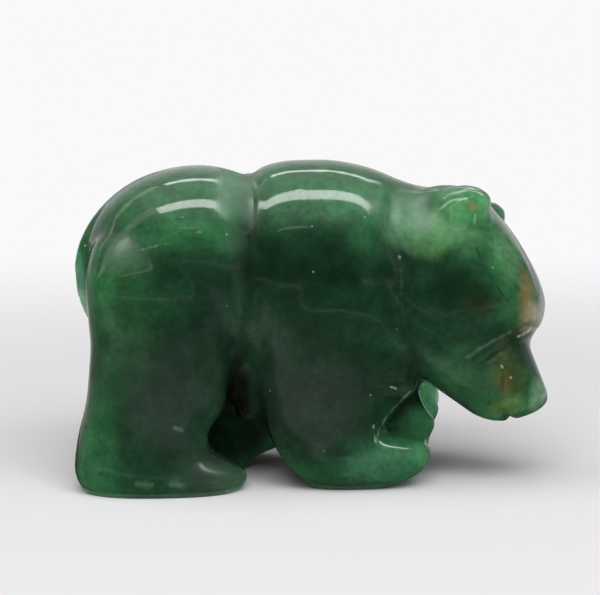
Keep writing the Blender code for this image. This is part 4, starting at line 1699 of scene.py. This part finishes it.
    @staticmethod
    def laid(bench: NodeBench, colour: Socket, cloud: Cloud, shares: Socket, wobble: Socket) -> Socket:
        """One cloud laid into the stone's colour.

        Args:
            bench: the tree's bench.
            colour: the colour so far.
            cloud: the cloud.
            shares: the place in shares of the length.
            wobble: noise that makes the cloud's edge ragged.

        Returns:
            The colour with the cloud in it.
        """
        gap = bench.vector("DIVIDE", bench.vector("SUBTRACT", shares, cloud.centre), cloud.radii)
        away = bench.number("LENGTH", gap)
        away = bench.math("ADD", away, bench.math("MULTIPLY", wobble, 2.0 * cloud.ragged))
        return bench.blend(bench.ramp(away, 0.25, 1.0, cloud.strength, 0.0), colour, cloud.colour)

    @staticmethod
    def streaked(bench: NodeBench, colour: Socket, vein: Vein, shares: Socket, rough: Socket) -> Socket:
        """One vein laid into the stone's colour.

        Args:
            bench: the tree's bench.
            colour: the colour so far.
            vein: the vein.
            shares: the place in shares of the length, on the head as it was drawn.
            rough: how much its edge wanders from place to place.

        Returns:
            The colour with the vein in it.
        """
        flat = bench.vector("MULTIPLY", shares, (1.0, 0.0, 1.0))
        nearest = None
        for start, way in vein.pieces():
            gap = bench.vector("SUBTRACT", flat, start)
            if any(way):
                squared = way[0] ** 2 + way[2] ** 2
                along = bench.number("DOT_PRODUCT", gap, [part / squared for part in way])
                along = bench.math("MINIMUM", bench.math("MAXIMUM", along, 0.0), 1.0)
                gap = bench.vector("SUBTRACT", gap, bench.scaled(way, along))
            away = bench.number("LENGTH", gap)
            nearest = away if nearest is None else bench.math("MINIMUM", nearest, away)
        nearest = bench.math("ADD", nearest, rough)
        share = bench.ramp(nearest, 0.0, 0.85 * vein.width, 0.75 * vein.strength, 0.0)
        return bench.blend(share, colour, vein.colour)

    @staticmethod
    def strewn(bench: NodeBench, colour: Socket, specks: Specks, shares: Socket) -> Socket:
        """Specks strewn through the stone's colour.

        Args:
            bench: the tree's bench.
            colour: the colour so far.
            specks: the specks.
            shares: the place in shares of the length.

        Returns:
            The colour with the specks in it.
        """
        cells = bench.set(bench.add("ShaderNodeTexVoronoi"), Vector=shares, Scale=specks.scale)
        pick = bench.add("ShaderNodeSeparateColor", cells.outputs["Color"]).outputs[0]
        some = bench.ramp(pick, specks.rare, specks.rare + 0.02)
        spot = bench.ramp(cells.outputs["Distance"], specks.size * 0.4, specks.size, specks.strength, 0.0)
        return bench.blend(bench.math("MULTIPLY", some, spot), colour, linear(*specks.colour))


class Bear:
    """The whole carving, from its forms to its finish."""

    def __init__(self, block: Block) -> None:
        """Lays out the sub-parts and the steps of the work.

        Args:
            block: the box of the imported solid.
        """
        self.block = block
        self.parts: tuple[SubPart, ...] = (Trunk(), HindLegs(), Forelegs(), Head())
        self.tail = TailStrip()
        self.carving = Carving()
        self.daylight = Daylight()
        self.marks = WorkMarks()
        self.finish = Aventurine()

    def solid(self, name: str, forms: Iterable[Form]) -> bpy.types.Object:
        """Makes one object of several closed forms, in metres.

        Args:
            name: the object's name.
            forms: the forms, which may overlap.

        Returns:
            The object.
        """
        bm = bmesh.new()
        for form in forms:
            verts = [bm.verts.new(p) for p in (form.points * self.block.unit).tolist()]
            for face in form.faces:
                bm.faces.new([verts[i] for i in face])
        bmesh.ops.recalc_face_normals(bm, faces=bm.faces[:])
        mesh = bpy.data.meshes.new(name)
        bm.to_mesh(mesh)
        bm.free()
        return placed(name, mesh)

    def fuse(self, obj: bpy.types.Object, grid: float, passes: int) -> None:
        """Makes one skin of what overlaps and eases its creases.

        Args:
            obj: the object to fuse.
            grid: the skin's grid, as a share of the length.
            passes: how many easing passes follow.
        """
        remesh = obj.modifiers.new("skin", "REMESH")
        remesh.mode = "VOXEL"
        remesh.voxel_size = grid * self.block.unit
        remesh.use_smooth_shade = True
        ease = obj.modifiers.new("ease", "SMOOTH")
        ease.factor = 0.5
        ease.iterations = passes
        settle(obj)

    def add(self, obj: bpy.types.Object, forms: Iterable[Form]) -> None:
        """Adds more closed forms to an object.

        Args:
            obj: the object.
            forms: the forms.
        """
        more = self.solid("more", forms)
        bm = bmesh.new()
        bm.from_mesh(obj.data)
        bm.from_mesh(more.data)
        bm.to_mesh(obj.data)
        bm.free()
        bpy.data.objects.remove(more)

    def cut(self, obj: bpy.types.Object, forms: Iterable[Form]) -> None:
        """Takes each form out of the object in turn.

        Args:
            obj: the object.
            forms: the forms.
        """
        cutters = [self.solid("cutter", [form]) for form in forms]
        for cutter in cutters:
            boolean = obj.modifiers.new("cut", "BOOLEAN")
            boolean.operation = "DIFFERENCE"
            boolean.solver = "EXACT"
            boolean.object = cutter
        settle(obj)
        for cutter in cutters:
            bpy.data.objects.remove(cutter)

    def stand(self, obj: bpy.types.Object) -> None:
        """Cuts the paws flat and drops crumbs beside the stone.

        Args:
            obj: the fused stone.
        """
        bm = bmesh.new()
        bm.from_mesh(obj.data)
        height = GROUND * self.block.unit
        everything = bm.verts[:] + bm.edges[:] + bm.faces[:]
        bmesh.ops.bisect_plane(bm, geom=everything, dist=1e-7, plane_co=(0.0, 0.0, height),
                               plane_no=(0.0, 0.0, -1.0), clear_outer=True)
        bmesh.ops.holes_fill(bm, edges=[edge for edge in bm.edges if edge.is_boundary])
        bmesh.ops.delete(bm, geom=self.crumbs(bm), context="VERTS")
        bmesh.ops.triangulate(bm, faces=[face for face in bm.faces if len(face.verts) > 4])
        bm.to_mesh(obj.data)
        bm.free()

    @staticmethod
    def crumbs(bm: bmesh.types.BMesh) -> list[bmesh.types.BMVert]:
        """Finds what isn't joined to the stone.

        Args:
            bm: the stone as a mesh under work.

        Returns:
            The points of every shell but the biggest.
        """
        left, shells = set(bm.verts), []
        while left:
            front = [left.pop()]
            shell = set(front)
            while front:
                for edge in front.pop().link_edges:
                    fresh = {vert for vert in edge.verts if vert in left}
                    left -= fresh
                    shell |= fresh
                    front += fresh
            shells.append(shell)
        biggest = max(shells, key=len)
        return [vert for shell in shells if shell is not biggest for vert in shell]

    def build(self) -> bpy.types.Object:
        """Blocks out, cuts, carves, marks and dresses the stone.

        Returns:
            The finished stone.
        """
        stone = self.solid("bear_stone", [form for part in self.parts for form in part.forms()])
        self.fuse(stone, BLOCK_GRID, BLOCK_PASSES)
        self.add(stone, self.tail.forms())
        self.fuse(stone, JOIN_GRID, JOIN_PASSES)
        self.cut(stone, [form for part in self.parts for form in part.hollows()])
        self.fuse(stone, SKIN_GRID, SKIN_PASSES)
        self.stand(stone)
        skin = Skin(stone.data, self.block.unit)
        self.carving.carve(skin)
        self.daylight.soak(skin)
        skin.fit(self.block)
        self.marks.apply(stone, self.finish.material(self.block))
        self.hold(stone)
        stone.data.shade_smooth()
        return stone

    def hold(self, stone: bpy.types.Object) -> None:
        """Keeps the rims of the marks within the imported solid's box.

        Args:
            stone: the marked stone.
        """
        points = np.empty(len(stone.data.vertices) * 3)
        stone.data.vertices.foreach_get("co", points)
        points = points.reshape(-1, 3).clip(np.array(self.block.low), np.array(self.block.high))
        stone.data.vertices.foreach_set("co", points.ravel())
        stone.data.update()

    def declare(self, stone: bpy.types.Object) -> None:
        """Says what the stone rides on and hides the imported part that it replaces."""
        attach(stone, BODY)
        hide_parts(NODE)


class Light(Enum):
    """What a lamp is there for."""

    GLOSS = "seen in the polish"
    FILL = "lights the stone and the floor"


@dataclass(frozen=True)
class Lamp:
    """A soft box: where it hangs, its two sizes, its radiance and what it is for."""

    name: str
    place: Place
    size: tuple[float, float]
    radiance: float
    use: Light = Light.GLOSS
    aim: Place = (0.0, 0.0, 0.015)

    def hang(self) -> None:
        """Hangs the lamp, aimed at the stone with its first size along X."""
        light = bpy.data.lights.new(self.name, "AREA")
        light.shape = "RECTANGLE"
        light.size, light.size_y = self.size
        light.energy = self.radiance * math.pi * self.size[0] * self.size[1]
        obj = placed(self.name, light)
        obj.location = self.place
        obj.visible_glossy = self.use is Light.GLOSS
        obj.visible_diffuse = self.use is Light.FILL
        back = (Vector(self.place) - Vector(self.aim)).normalized()
        along = (Vector((1.0, 0.0, 0.0)) - back * back.x).normalized()
        obj.rotation_euler = Matrix((along, back.cross(along), back)).transposed().to_euler()


@dataclass(frozen=True)
class Studio:
    """A pale floor and backdrop, soft boxes overhead and a dark room in front.

    Tones are radiances, where 1 is white in the picture. Ambience is the even light
    from behind and from in front, and cloth_far the cloth's tone there. The floor
    fades to the backdrop's tone between two distances from the stone.
    """

    floor_tone: float = 0.97
    backdrop_tone: float = 0.947
    ambience: tuple[float, float] = (0.10, 0.60)
    behind_tone: float = 0.38
    top_tone: float = 0.60
    side_tone: float = 0.26
    front_tone: float = 0.02
    cloth_glow: float = 0.26
    cloth_dark: float = 0.03
    cloth_far: tuple[float, float] = (0.03, 0.60)
    cloth_half: float = 1.2
    cloth_lift: float = 0.0005
    floor_radius: float = 3.0
    fade: tuple[float, float] = (0.05, 0.20)

    def lamps(self) -> tuple[Lamp, ...]:
        """The soft boxes.

        Returns:
            Long ones that are seen in the polish, and two that light stone and floor.
        """
        return (
            Lamp("overhead_strip", (0.045, -0.055, 0.50), (0.75, 0.120), 7.5),
            Lamp("overhead_end", (-0.54, -0.010, 0.50), (0.40, 0.160), 0.8),
            Lamp("back_strip", (0.08, 0.43, 0.50), (0.48, 0.055), 4.5),
            Lamp("back_end", (-0.42, 0.46, 0.50), (0.46, 0.090), 0.8),
            Lamp("front_strip", (-0.15, -0.50, 0.50), (0.30, 0.016), 2.0),
            Lamp("top_light", (-0.16, 0.00, 0.60), (0.60, 0.40), 1.15, Light.FILL),
            Lamp("key_light", (0.04, -0.42, 0.46), (0.60, 0.30), 3.8, Light.FILL),
        )

    @staticmethod
    def spread(name: str, mesh: bpy.types.Mesh, material: bpy.types.Material) -> bpy.types.Object:
        """Lays a flat piece of the stage and dresses it.

        Args:
            name: the piece's name.
            mesh: its shape.
            material: its finish.

        Returns:
            The piece.
        """
        mesh.materials.append(material)
        obj = placed(name, mesh)
        return obj

    def paper(self) -> bpy.types.Material:
        """Makes the floor's finish, matt and pale.

        Returns:
            The finish, which further out is as bright as the backdrop.
        """
        material = bpy.data.materials.new("pale_floor")
        material.use_nodes = True
        bench = NodeBench(material.node_tree)
        away = bench.number("LENGTH", bench.add("ShaderNodeTexCoord").outputs["Object"])
        tone = (self.floor_tone, self.floor_tone * 0.99, self.floor_tone, 1.0)
        paper = bench.add("ShaderNodeBsdfDiffuse", tone).outputs[0]
        room = bench.add("ShaderNodeEmission", grey(self.backdrop_tone), 1.0).outputs[0]
        mixed = bench.add("ShaderNodeMixShader", bench.ramp(away, *self.fade), paper, room)
        bench.add("ShaderNodeOutputMaterial", mixed.outputs[0])
        return material

    def floor(self) -> None:
        """Lays the floor that the stone stands on."""
        mesh = bpy.data.meshes.new("floor")
        bm = bmesh.new()
        bmesh.ops.create_circle(bm, cap_ends=True, segments=128, radius=self.floor_radius)
        bm.to_mesh(mesh)
        bm.free()
        self.spread("floor", mesh, self.paper())

    def room(self) -> None:
        """Sets the room: even soft light, a pale tent in the gloss, dark in front."""
        world = bpy.data.worlds.new("soft_room")
        world.use_nodes = True
        bench = NodeBench(world.node_tree)
        ray = bench.add("ShaderNodeLightPath").outputs
        direction = bench.add("ShaderNodeTexCoord").outputs["Generated"]
        ahead = bench.number("DOT_PRODUCT", direction, (0.0, -1.0, 0.0))
        above = bench.number("DOT_PRODUCT", direction, (0.0, 0.0, 1.0))
        tent = bench.math("ADD", bench.ramp(ahead, -1.0, -0.62, self.behind_tone, 0.0),
                          bench.ramp(ahead, -0.62, 0.30, self.side_tone, self.front_tone))
        tent = bench.math("ADD", tent, bench.ramp(above, 0.55, 0.92, 0.0, self.top_tone))
        low = bench.math("MULTIPLY", bench.ramp(above, -0.03, 0.10, self.cloth_far[0], 0.0),
                         bench.ramp(ahead, -0.2, 0.3))
        tent = bench.math("ADD", tent, low)
        even = bench.ramp(ahead, -0.6, 0.9, *self.ambience)
        tone = bench.add("ShaderNodeMix", ray["Is Glossy Ray"], even, tent).outputs[0]
        tone = bench.add("ShaderNodeMix", ray["Is Camera Ray"], tone, self.backdrop_tone).outputs[0]
        background = bench.add("ShaderNodeBackground", grey(1.0), tone)
        bench.add("ShaderNodeOutputWorld", background.outputs[0])
        bpy.context.scene.world = world

    def weave(self) -> bpy.types.Material:
        """Makes the floor cloth's tones.

        Returns:
            A dim band just in front of the stone, paler far behind, dark elsewhere.
        """
        material = bpy.data.materials.new("floor_cloth")
        material.use_nodes = True
        bench = NodeBench(material.node_tree)
        place = bench.add("ShaderNodeTexCoord").outputs["Object"]
        x, y, _ = bench.add("ShaderNodeSeparateXYZ", place).outputs
        band = bench.ramp(y, -0.095, -0.045, 0.0, self.cloth_glow)
        band = bench.math("MULTIPLY", band, bench.ramp(y, -0.028, -0.020, 1.0, 0.0))
        band = bench.math("MULTIPLY", band, bench.ramp(x, 0.002, 0.016, 1.0, 0.4))
        away = bench.number("LENGTH", place)
        behind = bench.math("MULTIPLY", bench.ramp(x, -0.08, -0.02, 0.35, 1.0), self.cloth_far[1])
        behind = bench.math("MULTIPLY", bench.ramp(x, 0.04, 0.30, 1.0, 0.4), behind)
        far = bench.ramp(y, -0.03, 0.03, self.cloth_far[0], 0.0)
        far = bench.math("ADD", far, bench.math("MULTIPLY", bench.ramp(y, -0.03, 0.03), behind))
        tone = bench.math("ADD", band, bench.math("MULTIPLY", bench.ramp(away, 0.03, 0.09), far))
        glow = bench.add("ShaderNodeEmission", grey(1.0), bench.math("ADD", tone, self.cloth_dark))
        bench.add("ShaderNodeOutputMaterial", glow.outputs[0])
        return material

    def cloth(self) -> None:
        """Lays the cloth that only the gloss of the stone mirrors, just above the floor."""
        mesh = bpy.data.meshes.new("floor_cloth")
        corners = ((-1, -1), (1, -1), (1, 1), (-1, 1))
        mesh.from_pydata([(x * self.cloth_half, y * self.cloth_half, self.cloth_lift) for x, y in corners],
                         [], [(0, 1, 2, 3)])
        obj = self.spread("floor_cloth", mesh, self.weave())
        obj.visible_camera = False
        obj.visible_diffuse = False
        obj.visible_transmission = False
        obj.visible_shadow = False

    def build(self) -> None:
        """Sets up floor, room, cloth and lamps."""
        self.floor()
        self.room()
        self.cloth()
        for lamp in self.lamps():
            lamp.hang()
        bpy.context.scene.view_settings.view_transform = "Standard"


@dataclass(frozen=True)
class View:
    """The photograph's camera: its direction in degrees, its lens in mm and its distance.

    It aims at a place that is given in shares of the stone's length.
    """

    azimuth: float = -5.0
    elevation: float = 8.0
    lens: float = 150.0
    sensor: float = 36.0
    distance: float = 0.2632
    nearest: float = 0.01
    aim: Place = (0.470, 0.0, 0.398)

    def place(self, block: Block) -> None:
        """Sets the scene's camera.

        Args:
            block: the stone's box, which the aim is given in.
        """
        az, el = math.radians(self.azimuth), math.radians(self.elevation)
        forward = Vector((-math.sin(az) * math.cos(el), math.cos(az) * math.cos(el), -math.sin(el)))
        camera = bpy.data.cameras.new("camera")
        camera.lens = self.lens
        camera.sensor_width = self.sensor
        camera.clip_start = self.nearest
        obj = placed("camera", camera)
        obj.location = block.place(self.aim) - forward * self.distance
        obj.rotation_euler = forward.to_track_quat("-Z", "Y").to_euler()
        bpy.context.scene.camera = obj


def plain(corners: Any) -> list[list[float]]:
    """A box's two corners as plain lists of numbers."""
    return [[float(value) for value in corner] for corner in corners]


def main() -> None:
    """Builds the carving and its studio, and reports each piece."""
    logging.basicConfig(level=logging.INFO, format="%(message)s")
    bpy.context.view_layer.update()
    block = Block(*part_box(NODE))
    bear = Bear(block)
    stone = bear.build()
    bear.declare(stone)
    log.info("%s: %d triangles", stone.name, sum(len(face.vertices) - 2 for face in stone.data.polygons))
    Studio().build()
    View().place(block)


if __name__ == "__main__":
    main()
